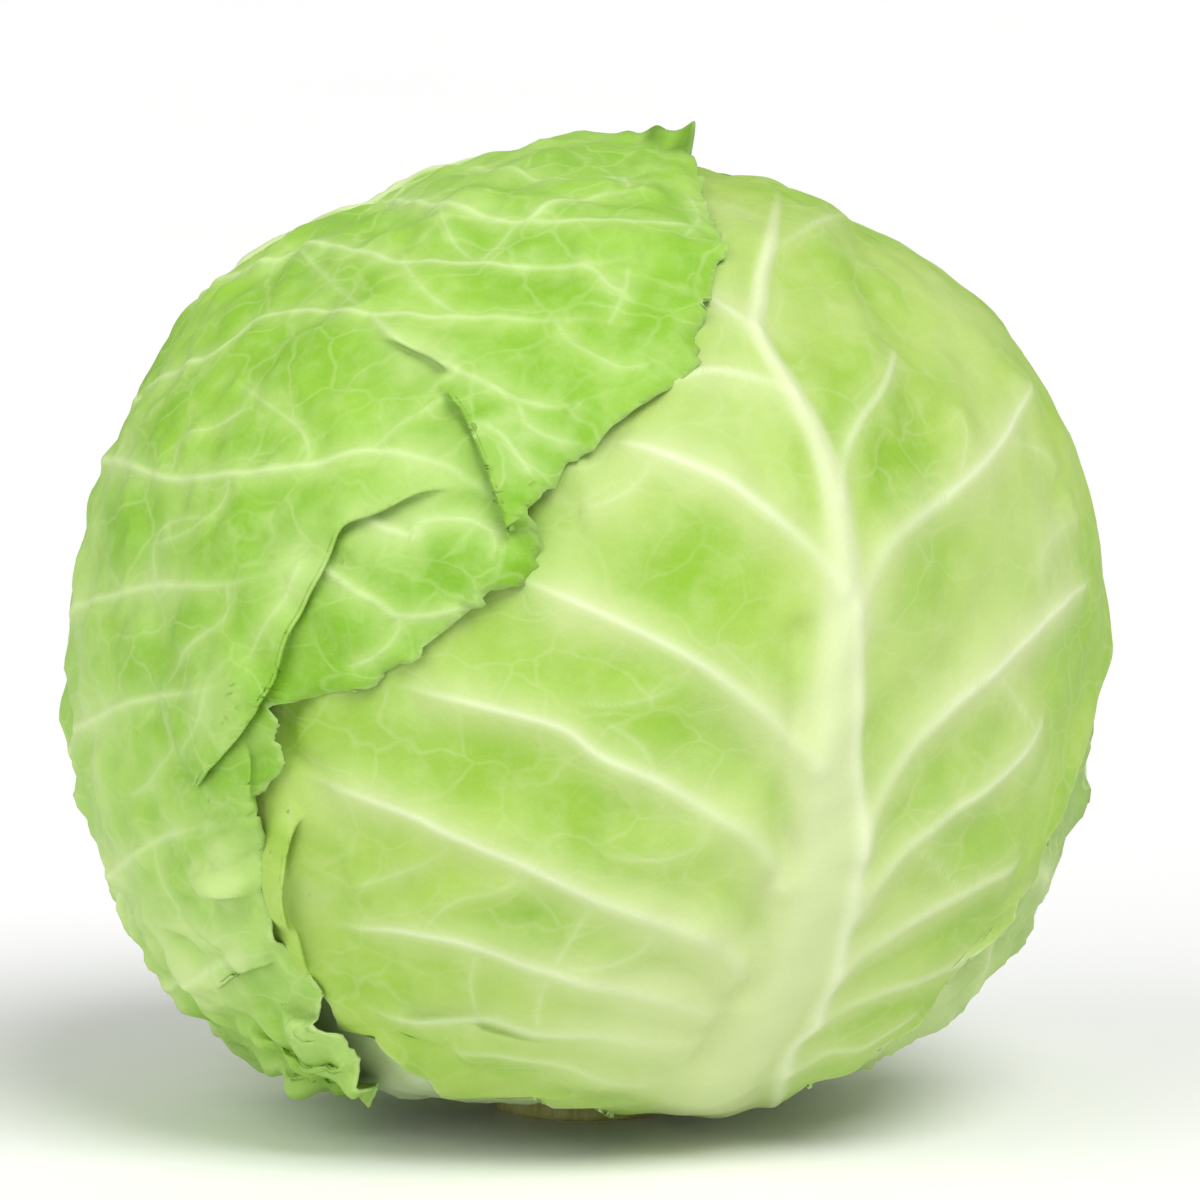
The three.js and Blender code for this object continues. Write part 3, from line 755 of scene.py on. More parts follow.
# The nets and margins of the front and the left leaf come here already, because the leaves below
# them lie flatter where these two cover them.
FRONT_NET = [
    [[-35, -76], [0, -77], [27, -78], [50, -77], [85, -76]],
    [[-14, -58], [8, -56], [25, -55], [38, -55], [54, -55]],
    [[-34, -44], [-4, -43], [27, -44], [46, -46], [60, -43]],
    [[-39, -29], [-6, -33], [29, -38], [45, -38], [64, -33]],
    [[-43, -12], [-5, -22], [30, -31], [48, -28], [74, -21]],
    [[-44, 6], [-2, -7], [31, -20], [52, -14], [86, -11]],
    [[-38, 21], [-2, 8], [31, -8], [54, 0], [97, 4]],
    [[-30, 40], [6, 25], [31, 10], [58, 22], [104, 25]],
    [[-20, 58], [12, 40], [30, 26], [56, 38], [108, 46]],
    [[-8, 74], [18, 54], [27, 40], [54, 53], [112, 64]],
    [[120, 84], [40, 72], [40, 57], [72, 64], [115, 72]],
    [[135, 77], [100, 76], [72, 70], [92, 70], [118, 72]],
]
LEFT_NET = [
    [[-170, -77], [-140, -77], [-112, -78], [-85, -77], [-55, -76]],
    [[-165, -62], [-138, -61], [-112, -63], [-80, -62], [-49, -60]],
    [[-172, -45], [-142, -47], [-112, -50], [-78, -50], [-45, -49]],
    [[-180, -30], [-146, -33], [-112, -38], [-76, -38], [-39, -34]],
    [[-186, -14], [-149, -18], [-112, -25], [-77, -25], [-40, -19]],
    [[-190, 2], [-151, -4], [-112, -11], [-74, -8], [-36, -6]],
    [[-192, 18], [-152, 11], [-112, 3], [-64, 9], [-18, 3]],
    [[-192, 32], [-152, 25], [-112, 15], [-60, 23], [-5, 14]],
    [[-192, 45], [-152, 39], [-112, 28], [-60, 41], [2, 28]],
    [[-192, 57], [-152, 52], [-112, 40], [-50, 51], [16, 37]],
    [[-194, 67], [-154, 63], [-113, 52], [-42, 59], [26, 51]],
    [[-198, 75], [-160, 74], [-115, 64], [-34, 68], [36, 62]],
    [[-205, 80], [-175, 83], [-120, 77], [-10, 81], [52, 77]],
    [[155, 79], [150, 83], [140, 86], [100, 84], [75, 81]],
]


def net_of(rows):
    rows = np.array(rows, float)
    return directions(rows[..., 0], rows[..., 1])


FRONT = Leaf(net_of(FRONT_NET), [INNER_RIGHT, INNER_FRONT, BACK])
LEFT = Leaf(net_of(LEFT_NET), [INNER_RIGHT, INNER_FRONT, BACK, FRONT])


def seen(leaf, pixels):
    """Directions of the places on a leaf that show at the given pixels of the photograph."""
    pixels = np.asarray(pixels, float)
    offset = (pixels - FRAME_PIXELS / 2) * PIXEL_MM
    target = AIM + offset[:, :1] * VIEW_RIGHT - offset[:, 1:] * VIEW_UP
    ray = unit(target - EYE)
    nearest = -(EYE * ray).sum(1)
    closest = EYE + nearest[:, None] * ray
    gap = np.linalg.norm(closest, axis=1)
    d = unit(closest)
    for _ in range(8):
        radius = leaf.bed(d) + BLADE
        back = np.sqrt(np.maximum(radius**2 - gap**2, 0))
        d = unit(closest - back[:, None] * ray)
    return d


def seen_lines(leaf, lines):
    """The same for several lines of pixels."""
    found = seen(leaf, np.concatenate([np.asarray(line, float) for line in lines]))
    return np.split(found, np.cumsum([len(line) for line in lines])[:-1])


# The rows over which a trimmed margin goes back to the net's own, the steps that its soft form is
# smoothed over, and the pixels, well outside the frame, that close its line.
TRIM_FADE = 1.2
TRIM_BLUR = 18
TRIM_BLUR_REACH = 60
FAR_LEFT = -4000
FAR_RIGHT = 5000


def trim(leaf, side, margin, low=0.6, high=1.35):
    """Moves one margin of a leaf to where a line of pixels has it, row by row. The line is closed
    behind the leaf's own side of it."""
    far = FAR_LEFT if side > 0 else FAR_RIGHT
    ring = np.array([*margin, (far, margin[-1][1]), (far, margin[0][1])], float)
    us, rows = np.meshgrid(np.linspace(low, high, 101), leaf.reach_rows)
    d = leaf.directions(side * us.ravel(), rows.ravel())
    x, y = pixels_of(d * (leaf.bed(d) + BLADE)[:, None]).T
    inside = np.zeros(len(x), bool)
    for (ax, ay), (bx, by) in zip(ring, np.roll(ring, -1, axis=0)):
        inside ^= ((ay > y) != (by > y)) & (x < (bx - ax) * (y - ay) / ((by - ay) or 1e-9) + ax)
    ends = (margin[0][1], margin[-1][1])
    counts = (y > min(ends)) & (y < max(ends)) & (d @ VIEW_BACK > -0.1)
    inside, counts = inside.reshape(us.shape), counts.reshape(us.shape)
    known, reach = [], []
    for i in np.flatnonzero((~inside).any(axis=1)):
        beyond = np.argmax(~inside[i])
        if counts[i, beyond]:
            known.append(leaf.reach_rows[i])
            reach.append(us[i, max(beyond - 1, 0)])
    known = [known[0] - TRIM_FADE, *known, known[-1] + TRIM_FADE]
    leaf.reach[side] = np.interp(leaf.reach_rows, known, [1, *reach, 1])
    steps = np.arange(-TRIM_BLUR_REACH, TRIM_BLUR_REACH + 1)
    spread = np.exp(-0.5 * (steps / TRIM_BLUR) ** 2)
    padded = np.pad(leaf.reach[side], TRIM_BLUR_REACH, mode="edge")
    leaf.soft_reach[side] = np.convolve(padded, spread / spread.sum(), mode="valid")
    leaf.trace()


FRONT_LEFT_MARGIN = [
    (240, 690), (238, 760), (238, 830), (240, 880), (248, 915), (262, 940), (276, 965), (296, 985),
    (327, 998), (335, 1018), (336, 1033), (354, 1044), (370, 1034), (378, 1046), (398, 1057),
    (408, 1074), (425, 1077), (442, 1096), (485, 1105), (505, 1108), (522, 1099), (535, 1100),
    (563, 1115), (590, 1108), (625, 1118),
]
FRONT_RIGHT_MARGIN = [
    (1080, 760), (1073, 784), (1061, 813), (1047, 837), (1041, 876), (1020, 898), (1010, 919),
    (964, 956), (940, 994), (916, 1019), (860, 1055), (800, 1072), (745, 1085),
]
LEFT_MARGIN = [
    (696, 161), (702, 168), (708, 176), (707, 183), (713, 203), (722, 217), (731, 228), (730, 240),
    (731, 252), (724, 261), (725, 271), (715, 295), (708, 304), (710, 318), (705, 345), (704, 368),
    (672, 388), (640, 410), (612, 430), (600, 445), (584, 461), (567, 458), (565, 479), (549, 496),
    (532, 511), (541, 521), (544, 545), (539, 573), (530, 585), (501, 590), (490, 599), (487, 609),
    (466, 613), (464, 623), (438, 639), (423, 651), (419, 661), (386, 670), (372, 691), (343, 694),
    (324, 696), (277, 708), (284, 721), (279, 737), (280, 750), (283, 764), (268, 790), (258, 812),
    (260, 832), (258, 866), (260, 903), (279, 950), (292, 969), (307, 986), (322, 998), (317, 1024),
    (344, 1034), (352, 1048), (364, 1060), (362, 1075), (376, 1084), (374, 1099), (363, 1110),
    (330, 1112),
]
trim(FRONT, -1, FRONT_LEFT_MARGIN, 0.5)
trim(FRONT, 1, FRONT_RIGHT_MARGIN, 0.5)
trim(LEFT, 1, LEFT_MARGIN, 0.5)
right_finish = leaf_finish(
    "inner_leaf_right",
    green=paint(150, 186, 92),
    deep=paint(124, 166, 54),
    pale=paint(186, 208, 136),
    vein=paint(206, 224, 160),
)
plain_leaf(
    "inner_leaf_right", "leaf_inner_right", INNER_RIGHT, right_finish, 1.8, 11, 9, 1.2,
    over=(BACK, FRONT, LEFT), free_rise=0.7, ruffled=0.6,
)
pale_finish = leaf_finish(
    "inner_leaf_front",
    green=paint(160, 184, 118),
    deep=paint(146, 174, 92),
    pale=paint(188, 204, 156),
    vein=paint(202, 216, 176),
)
plain_leaf(
    "inner_leaf_front", "leaf_inner_front", INNER_FRONT, pale_finish, 2.2, 23, 9, 1.2,
    over=(BACK, FRONT, LEFT), free_rise=1.8, ruffled=0.2,
)

# The back leaf
# A full-grown wrapper leaf behind the head, green and firm. Its midrib stands out like a rounded
# bar at the base and thins towards the top, where the leaf goes under the two outer ones.
back_finish = leaf_finish(
    "back_leaf",
    green=paint(150, 196, 84),
    deep=paint(122, 172, 56),
    pale=paint(196, 220, 142),
    vein=paint(220, 234, 182),
)
plain_leaf("back_leaf", "leaf_back", BACK, back_finish, 1.6, 31, 9, 3.5, over=(FRONT, LEFT))

# The front leaf
# The pale leaf in front, with a broad white midrib that fans out at the foot where it joined the
# stem. Strong side veins branch from it, and the thin green blade sinks between them.
FRONT_MIDRIB = [
    (690, 1128), (716, 1085), (750, 1035), (782, 985), (803, 935), (815, 885), (822, 830), (828, 760),
    (834, 700), (840, 640), (842, 577), (826, 463), (791, 394), (757, 333), (759, 300), (768, 248),
    (778, 187),
]
FRONT_CREST = [
    (751, 1102), (781, 1070), (811, 1021), (834, 961), (849, 893), (857, 833), (854, 750), (856, 656),
    (848, 577), (832, 480),
]
# Places along the midrib from 0 to 1, and its half width and height in mm there.
FRONT_RIB_AT = (0, 0.3, 0.46, 0.59, 0.7, 0.85, 1)
FRONT_RIB_HALF = (8.2, 6.2, 4.4, 2.5, 1.5, 1.1, 0.5)
FRONT_RIB_HEIGHT = (3.6, 2.9, 2.2, 1.4, 1.0, 0.7, 0.2)
# In mm: the sharp edge along the midrib's right side, how far the blade sinks between the veins, and
# how much lower the tip lies, where the left leaf's corner is close above it.
FRONT_CREST_HEIGHT = 0.7
FRONT_CREST_HALF = 1.6
FRONT_SUNK = 0.9
FRONT_TIP_DROP = 1.5
# The distance between a leaf's points in mm.
FRONT_SPACING = 1.3

# Each side vein from the midrib out: its line in pixels, then width, height and whiteness.
FRONT_VEINS = [
    ([(757, 333), (735, 315), (711, 300), (690, 296)], 2.2, 0.5, 0.7),
    ([(791, 398), (770, 384), (735, 372), (699, 371), (660, 385)], 2.8, 0.6, 0.75),
    ([(838, 590), (810, 550), (775, 519), (726, 482), (657, 451), (600, 436)], 4.0, 1.0, 1.0),
    ([(812, 765), (795, 742), (753, 703), (696, 661), (631, 627), (560, 595), (500, 570)], 3.8, 1.0, 0.95),
    ([(778, 885), (772, 862), (750, 836), (715, 814), (657, 780), (600, 755), (559, 726), (474, 703),
      (383, 683)], 4.2, 1.2, 0.95),
    ([(742, 972), (734, 957), (706, 938), (657, 918), (597, 898), (536, 868), (459, 837), (413, 812),
      (345, 790), (290, 772)], 4.4, 1.3, 0.95),
    ([(712, 1012), (660, 996), (551, 971), (478, 948), (421, 933), (365, 928), (318, 930)], 4.0, 1.0, 0.9),
    ([(692, 1040), (657, 1040), (597, 1034), (536, 1030), (478, 1016), (406, 1018), (350, 1005)],
     3.4, 0.9, 0.6),
    ([(640, 1085), (600, 1078), (560, 1066), (500, 1052), (440, 1050)], 2.4, 0.5, 0.4),
    ([(768, 262), (790, 240), (822, 222), (850, 215)], 1.4, 0.3, 0.4),
    ([(840, 500), (846, 455), (860, 420), (883, 386), (898, 340)], 2.0, 0.6, 0.75),
    ([(856, 610), (883, 551), (915, 520), (944, 497), (1002, 440), (1032, 371)], 3.8, 1.0, 1.0),
    ([(858, 850), (870, 810), (906, 749), (945, 710), (983, 677), (1051, 611), (1101, 574)], 3.6, 1.1, 1.0),
    ([(855, 912), (875, 880), (906, 845), (956, 807), (1013, 765), (1055, 700)], 3.2, 0.9, 0.8),
    ([(840, 970), (865, 950), (906, 925), (963, 891), (1029, 853)], 3.0, 0.9, 0.8),
    ([(818, 1020), (850, 1005), (887, 990), (944, 967), (990, 940)], 2.8, 0.7, 0.65),
    ([(790, 1068), (830, 1050), (868, 1040), (925, 1002)], 2.4, 0.6, 0.5),
]
# Small veins between them, all of one size.
FRONT_VEINLET_SIZES = (0.9, 0.12, 0.28)
FRONT_VEINLETS = [
    [(657, 451), (640, 480), (610, 500), (575, 508)],
    [(696, 661), (670, 690), (615, 705), (560, 700)],
    [(715, 814), (690, 850), (640, 860), (590, 850)],
    [(657, 780), (640, 745), (600, 720)],
    [(536, 868), (500, 890), (450, 905), (420, 933)],
    [(597, 898), (580, 925), (551, 971)],
    [(459, 837), (430, 860), (380, 880), (340, 890)],
    [(657, 918), (640, 950), (600, 965), (560, 968)],
    [(551, 971), (540, 1000), (536, 1030)],
    [(478, 948), (470, 985), (478, 1016)],
    [(944, 497), (960, 470), (965, 430), (950, 400)],
    [(1002, 440), (1040, 450), (1062, 480)],
    [(983, 677), (1010, 690), (1040, 740)],
    [(1051, 611), (1040, 575), (1050, 540), (1085, 510)],
    [(906, 845), (930, 860), (963, 891)],
]
# Places where the blade is a fuller green, or paler: pixel, spread in mm, strength.
FRONT_DEEP = [
    (700, 545, 12, 0.9), (640, 590, 10, 0.6), (560, 525, 8, 0.5), (900, 470, 9, 0.6), (870, 380, 8, 0.5),
    (862, 290, 4, 0.5), (960, 580, 10, 0.3), (610, 820, 14, 0.4), (640, 700, 14, 0.6),
    (500, 740, 12, 0.5), (560, 920, 12, 0.35), (330, 740, 8, 0.5), (420, 790, 14, 0.4),
    (860, 720, 9, 0.3), (1040, 560, 14, 0.4), (1060, 680, 10, 0.45), (980, 850, 14, 0.5),
    (960, 930, 10, 0.6), (900, 1030, 12, 0.6), (290, 740, 4, 0.7), (500, 925, 5, 0.4),
    (525, 922, 5, 0.4), (550, 925, 5, 0.4), (580, 930, 5, 0.35), (342, 912, 4, 0.5),
]
FRONT_PALE = [
    (600, 480, 12, 0.6), (560, 600, 11, 0.5), (720, 420, 14, 0.5), (690, 980, 22, 0.6),
    (740, 1060, 18, 0.8), (620, 1060, 20, 0.5), (740, 300, 10, 0.8), (720, 210, 10, 0.6),
    (880, 640, 14, 0.4), (900, 900, 16, 0.45), (330, 800, 8, 0.5), (310, 900, 5, 0.5),
    (770, 740, 12, 0.5), (420, 700, 9, 0.45), (1010, 640, 16, 0.6), (1000, 520, 14, 0.4),
    (1060, 560, 12, 0.5), (960, 300, 14, 0.5), (830, 230, 10, 0.3), (1030, 760, 12, 0.4),
    (1045, 490, 14, 0.45), (945, 680, 14, 0.35), (850, 310, 9, 0.4), (960, 370, 12, 0.4),
    (1000, 930, 10, 0.4),
]


def patches(d, leaf, places):
    """Soft spots on a leaf, each at a pixel, with its spread in mm and strength."""
    places = np.array(places, float)
    total = np.zeros(len(d))
    for spot, spread, strength in zip(seen(leaf, places[:, :2]), places[:, 2], places[:, 3]):
        total += strength * np.exp(-((np.linalg.norm(d - spot, axis=1) * HEAD_SCALE / spread) ** 2))
    return np.clip(total, 0, 1)


FOLD_OFFSETS = (-3, -2.2, -1.6, -1.2, -0.9, -0.6, -0.3, 0, 0.3, 0.6, 0.9, 1.2, 1.6, 2.2, 3)


def ends_taper(curve, along, from_start, from_end):
    """1 along a curve, falling softly to 0 over so many mm at each end."""
    length = np.linalg.norm(np.diff(curve, axis=0), axis=1).sum() * HEAD_SCALE
    return smooth(along * length, 0, from_start) * smooth((1 - along) * length, 0, from_end)


def fold(d, curve, height, overhang, reach, ends, lip=1.1):
    """A pleat: the blade on the left of a curve is raised and laps over the right. Gives how far each
    place is raised, how far it moves along the surface, in mm, and how deep it lies under the lip."""
    curve = vein_curve(curve)
    off, along, side, across = beside(curve, d, reach + 12)
    taper = np.where(np.isfinite(off), ends_taper(curve, along, *ends), 0)
    s = np.where(np.isfinite(off), off * side, 99.0)
    up = smooth(s, -lip, lip) * (1 - smooth(s, 1.5, reach))
    slide = overhang * (s / lip) * np.exp(0.5 - 0.5 * (s / lip) ** 2)
    under = smooth(-s, -lip, 0) * np.exp(np.minimum(s, 0) / 2.5) * taper
    return height * taper * up, -across * (slide * taper)[:, None], under


def crease(d, curve, depth, half_width):
    """A narrow valley along a curve, or a ridge if its depth is negative."""
    curve = vein_curve(curve)
    off, along, _, _ = beside(curve, d, 4 * half_width)
    valley = np.exp(-((np.where(np.isfinite(off), off, 99) / half_width) ** 2))
    return -depth * ends_taper(curve, along, 6, 6) * valley


# A vein is a strong one above this width in mm. The points across it, as shares of its width.
STRONG_VEIN = 1.2
STRONG_VEIN_OFFSETS = (-1, -0.5, -0.22, 0, 0.22, 0.5, 1)


def close_lines(veins, folds, creases):
    """Where a leaf's points lie closer: beside its folds, its creases and its stronger veins."""
    lines = [(curve, 0.5, FOLD_OFFSETS) for curve in folds]
    lines += [(curve, 0.7, (-half, 0, half)) for curve, half in creases]
    for curve, width, *_ in veins:
        if width > STRONG_VEIN:
            lines.append((curve, 0.8, [width * share for share in STRONG_VEIN_OFFSETS]))
        else:
            lines.append((curve, 0.9, (-0.6, 0, 0.6)))
    return lines


def traced_veins(leaf, veins):
    """Veins whose lines are given in pixels, as veins on the leaf."""
    curves = seen_lines(leaf, [line for line, *_ in veins])
    return [(curve, *sizes) for curve, (_, *sizes) in zip(curves, veins)]


def margin_steps(u_steps):
    """The same steps across, with two close ones at each margin."""
    near = np.array([0.35, 0.9]) / PLAN_MM[0]
    middle = u_steps[(u_steps > -1 + 2 * near[1]) & (u_steps < 1 - 2 * near[1])]
    return np.concatenate([[-1], -1 + near, middle, 1 - near[::-1], [1]])


def margin_distance(leaf, d, u, row):
    """Distance in mm from each place to the nearer side margin, along its own row."""
    side = np.where(u < 0, -1.0, 1.0)
    edge = leaf.directions(side, row)
    return np.arccos(np.clip(np.einsum("ij,ij->i", edge, d), -1, 1)) * HEAD_SCALE


FRONT_FOLDS = [
    ([(292, 935), (286, 900), (286, 874), (287, 853), (293, 831), (306, 815)], 1.7, 1.3, 6, (4, 5)),
    ([(313, 985), (300, 945), (295, 915), (294, 885), (295, 862)], 0.9, 0.6, 5, (5, 6)),
    ([(560, 1042), (534, 1038), (490, 1028), (471, 1018), (425, 1017), (404, 1020)], 1.0, 0.5, 12, (10, 4)),
]
FRONT_CREASES = [
    ([(318, 704), (296, 705), (284, 722), (284, 746), (296, 760), (327, 772)], 1.1, 1.6),
    ([(840, 240), (846, 247), (851, 252)], 0.7, 1.0),
    ([(868, 291), (874, 296), (880, 300)], 0.7, 1.0),
    ([(803, 610), (801, 690), (792, 760), (783, 810), (786, 856), (768, 895), (758, 925), (753, 960),
      (744, 988), (724, 1008), (712, 1040), (690, 1070)], 1.5, 2.4),
    ([(1068, 760), (1075, 768)], 0.6, 1.0),
    ([(795, 660), (785, 600), (760, 560), (720, 525)], 0.5, 3.5),
]


def make_front_leaf():
    midrib = seen(FRONT, FRONT_MIDRIB)
    veinlets = [(line, *FRONT_VEINLET_SIZES) for line in FRONT_VEINLETS]
    veins = traced_veins(FRONT, FRONT_VEINS) + traced_veins(FRONT, veinlets)
    folds = seen_lines(FRONT, [fold_line for fold_line, *_ in FRONT_FOLDS])
    creases = seen_lines(FRONT, [crease_line for crease_line, *_ in FRONT_CREASES])
    narrow = [(curve, half) for curve, (_, _, half) in zip(creases, FRONT_CREASES)]
    lines = close_lines(veins, folds, narrow)
    lines.append((midrib, 0.9, np.linspace(-10, 10, 21)))
    spacing = FRONT_SPACING
    row_steps = np.linspace(0, FRONT.last, int(FRONT.last * PLAN_MM[1] / spacing))
    u_steps = np.linspace(-1, 1, int(2 * PLAN_MM[0] / spacing) | 1)
    d, u, row, triangles, rim = FRONT.mesh(margin_steps(u_steps), row_steps, lines, 0.8)
    v = row / FRONT.last
    to_margin = margin_distance(FRONT, d, u, row)

    relief, line, halo, nearest = veins_on(d, veins, 1.0)
    off, along, _, _ = beside(vein_curve(midrib), d, 40)
    half = np.interp(along, FRONT_RIB_AT, FRONT_RIB_HALF)
    rib = 0.75 * np.exp(-((off / half) ** 2)) + 0.25 * np.exp(-((off / (2.2 * half)) ** 2))
    rib *= 1 - smooth(along, 0.93, 1)
    high = np.interp(along, FRONT_RIB_AT, FRONT_RIB_HEIGHT) * rib
    gutter = 0.3 * (1 - along) * np.exp(-(((off - 2.4 * half) / (0.8 * half)) ** 2))
    from_ridge, along_ridge, _, _ = beside(vein_curve(seen(FRONT, FRONT_CREST)), d, 16)
    ridge = np.exp(-((from_ridge / FRONT_CREST_HALF) ** 2))
    ridge *= smooth(along_ridge, 0, 0.15) * smooth(1 - along_ridge, 0, 0.3)
    high += FRONT_CREST_HEIGHT * ridge
    sunk = FRONT_SUNK * smooth(nearest, 0.5, 9) * smooth(off, 4, 14) * smooth(to_margin, 0, 12)

    body = high - gutter + relief - sunk + 0.35 * swell(d, 24, 41) + 0.2 * swell(d, 10, 43)
    moved = np.zeros((len(d), 3))
    shade = np.zeros(len(d))
    for curve, (_, height, overhang, reach, ends) in zip(folds, FRONT_FOLDS):
        up, slide, under = fold(d, curve, height, overhang, reach, ends, 0.9)
        body += up
        moved += slide
        # Painted shade: the blade under each fold's lip is painted darker.
        shade = np.maximum(shade, 0.5 * under)
    for curve, (_, depth, half_width) in zip(creases, FRONT_CREASES):
        body += crease(d, curve, depth, half_width)
    under_left = LEFT.outside(d)
    bare = smooth(under_left, -1, 3)
    calm = (1 - smooth(v, 0.38, 0.5) * (u > 0)) * (1 - smooth(v, 0.8, 0.9))
    wave = 0.5 + 0.7 * swell(d, 12, 47)
    body += wave * np.exp(-to_margin / 3.5) * smooth(v, 0.1, 0.2) * bare * calm
    body *= 0.2 + 0.8 * smooth(under_left, -7, 1)
    body -= FRONT_TIP_DROP * smooth(v, 0.84, 0.92) * smooth(u, 0.3, 0.8)

    thickness = BLADE_AT_MARGIN + (BLADE - BLADE_AT_MARGIN) * smooth(to_margin, 0, 5) + high
    points = d * (FRONT.bed(d) + BLADE + body)[:, None] + moved
    white_rib = (0.05 + 0.4 * along * smooth(1 - along, 0, 0.25)) * smooth(rib, 0.2, 0.9)
    pale_rib = smooth(rib, 0.05, 0.6) * smooth(1 - along, 0, 0.2)
    fields = {
        # The crest along the midrib's right edge gets half of the vein colour: a painted highlight where the
        # light catches it.
        "vein": np.clip(0.6 * line + white_rib + 0.5 * ridge, 0, 1),
        "pale": np.clip(0.65 * halo + 0.85 * pale_rib + 0.7 * patches(d, FRONT, FRONT_PALE), 0, 1),
        "deep": patches(d, FRONT, FRONT_DEEP) * (0.35 + 0.65 * smooth(nearest, 1.5, 7)),
        "rim": 0.3 * (1 - smooth(to_margin, 0, 0.7)),
        "shade": shade,
    }
    finish = leaf_finish(
        "front_leaf",
        green=paint(165, 197, 84),
        deep=paint(134, 180, 40),
        pale=paint(194, 210, 144),
        vein=paint(230, 238, 204),
        net_share=0.22,
    )
    piece = blade_piece("front_leaf", points, triangles, rim, thickness, finish, fields)
    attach(piece, "root")
    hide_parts("leaf_front")


make_front_leaf()

# The left leaf
# The outermost leaf, a fuller green, wrapped over the left side, the top and part of the front.
# Its front half is too wide for the head, so it falls in pleats, and its thin margin is frilled.
# Each side vein: the row of the net where it leaves the midrib, its line in pixels, then width,
# height and whiteness.
LEFT_VEINS = [
    (10.6, [(420, 172), (451, 164), (536, 176), (624, 173), (698, 173)], 1.6, 0.35, 0.6),
    (9.8, [(345, 205), (371, 200), (440, 206), (517, 218), (560, 203), (630, 192), (658, 194), (690, 190)],
     2.0, 0.5, 0.9),
    (8.7, [(270, 262), (298, 248), (364, 250), (402, 258), (478, 262), (560, 263), (629, 260), (680, 263)],
     2.0, 0.5, 0.85),
    (7.4, [(205, 360), (252, 319), (306, 310), (367, 312), (459, 315), (555, 319), (610, 321), (660, 330)],
     2.0, 0.5, 0.85),
    (6.8, [(105, 462), (126, 463), (168, 478), (230, 474), (308, 465), (372, 452), (442, 465), (466, 479),
           (487, 495), (503, 517), (508, 540), (516, 575)], 2.5, 0.7, 1.0),
    (5.2, [(74, 612), (77, 608), (115, 594), (153, 585), (230, 585), (306, 566)], 2.3, 0.6, 0.9),
    (3.9, [(71, 745), (90, 722), (115, 707), (161, 696), (214, 688), (260, 668)], 2.4, 0.6, 0.9),
    (2.9, [(98, 900), (111, 875), (149, 845), (191, 830), (250, 830)], 2.2, 0.6, 0.8),
    (1.9, [(150, 1000), (172, 983), (230, 960), (283, 952)], 2.2, 0.6, 0.7),
]
LEFT_BRANCHES = [
    ([(517, 218), (560, 220), (614, 222), (652, 225), (715, 222)], 1.3, 0.3, 0.7),
    ([(624, 173), (630, 191)], 0.9, 0.2, 0.6),
    ([(560, 263), (591, 266), (610, 286), (640, 300)], 1.2, 0.3, 0.7),
    ([(371, 313), (394, 336), (451, 367), (517, 398), (566, 405), (600, 400)], 1.5, 0.4, 0.75),
    ([(331, 571), (355, 590), (376, 602), (398, 616), (442, 613), (480, 600)], 1.4, 0.35, 0.85),
    ([(398, 616), (395, 632), (375, 655), (340, 670)], 1.0, 0.25, 0.6),
    ([(364, 524), (395, 531), (414, 538)], 1.8, 0.45, 0.95),
    ([(414, 538), (423, 521), (466, 519), (490, 531), (494, 547), (485, 566)], 1.1, 0.3, 0.75),
    ([(308, 465), (300, 430), (262, 400), (235, 380)], 0.9, 0.2, 0.5),
    ([(372, 452), (400, 425), (430, 405), (450, 388)], 0.9, 0.2, 0.5),
    ([(230, 474), (215, 510), (180, 535), (140, 545)], 0.9, 0.2, 0.5),
    ([(168, 478), (180, 440), (215, 425), (262, 400)], 0.9, 0.2, 0.5),
    ([(402, 258), (420, 285), (459, 315)], 0.9, 0.2, 0.55),
    ([(298, 248), (330, 280), (367, 312)], 0.9, 0.2, 0.5),
    ([(478, 262), (500, 240), (517, 218)], 0.8, 0.2, 0.5),
    ([(440, 206), (450, 235), (478, 262)], 0.8, 0.2, 0.5),
    ([(555, 319), (575, 345), (620, 365), (660, 360)], 0.9, 0.2, 0.5),
    ([(230, 585), (225, 620), (185, 650), (161, 696)], 0.9, 0.2, 0.5),
    ([(153, 585), (150, 545), (175, 520), (230, 520)], 0.9, 0.2, 0.45),
    ([(306, 566), (290, 600), (262, 640), (245, 668)], 0.9, 0.2, 0.5),
    ([(161, 696), (170, 740), (150, 780), (120, 800)], 0.9, 0.2, 0.45),
    ([(214, 688), (205, 720), (180, 760)], 0.9, 0.2, 0.4),
    ([(149, 845), (160, 890), (190, 930), (230, 960)], 0.9, 0.2, 0.45),
    ([(690, 190), (700, 215), (680, 240)], 0.8, 0.2, 0.5),
    ([(610, 321), (625, 290), (629, 260)], 0.8, 0.2, 0.5),
    ([(528, 470), (505, 440), (480, 420)], 0.9, 0.25, 0.7),
    ([(560, 440), (528, 425), (517, 398)], 0.9, 0.25, 0.6),
]
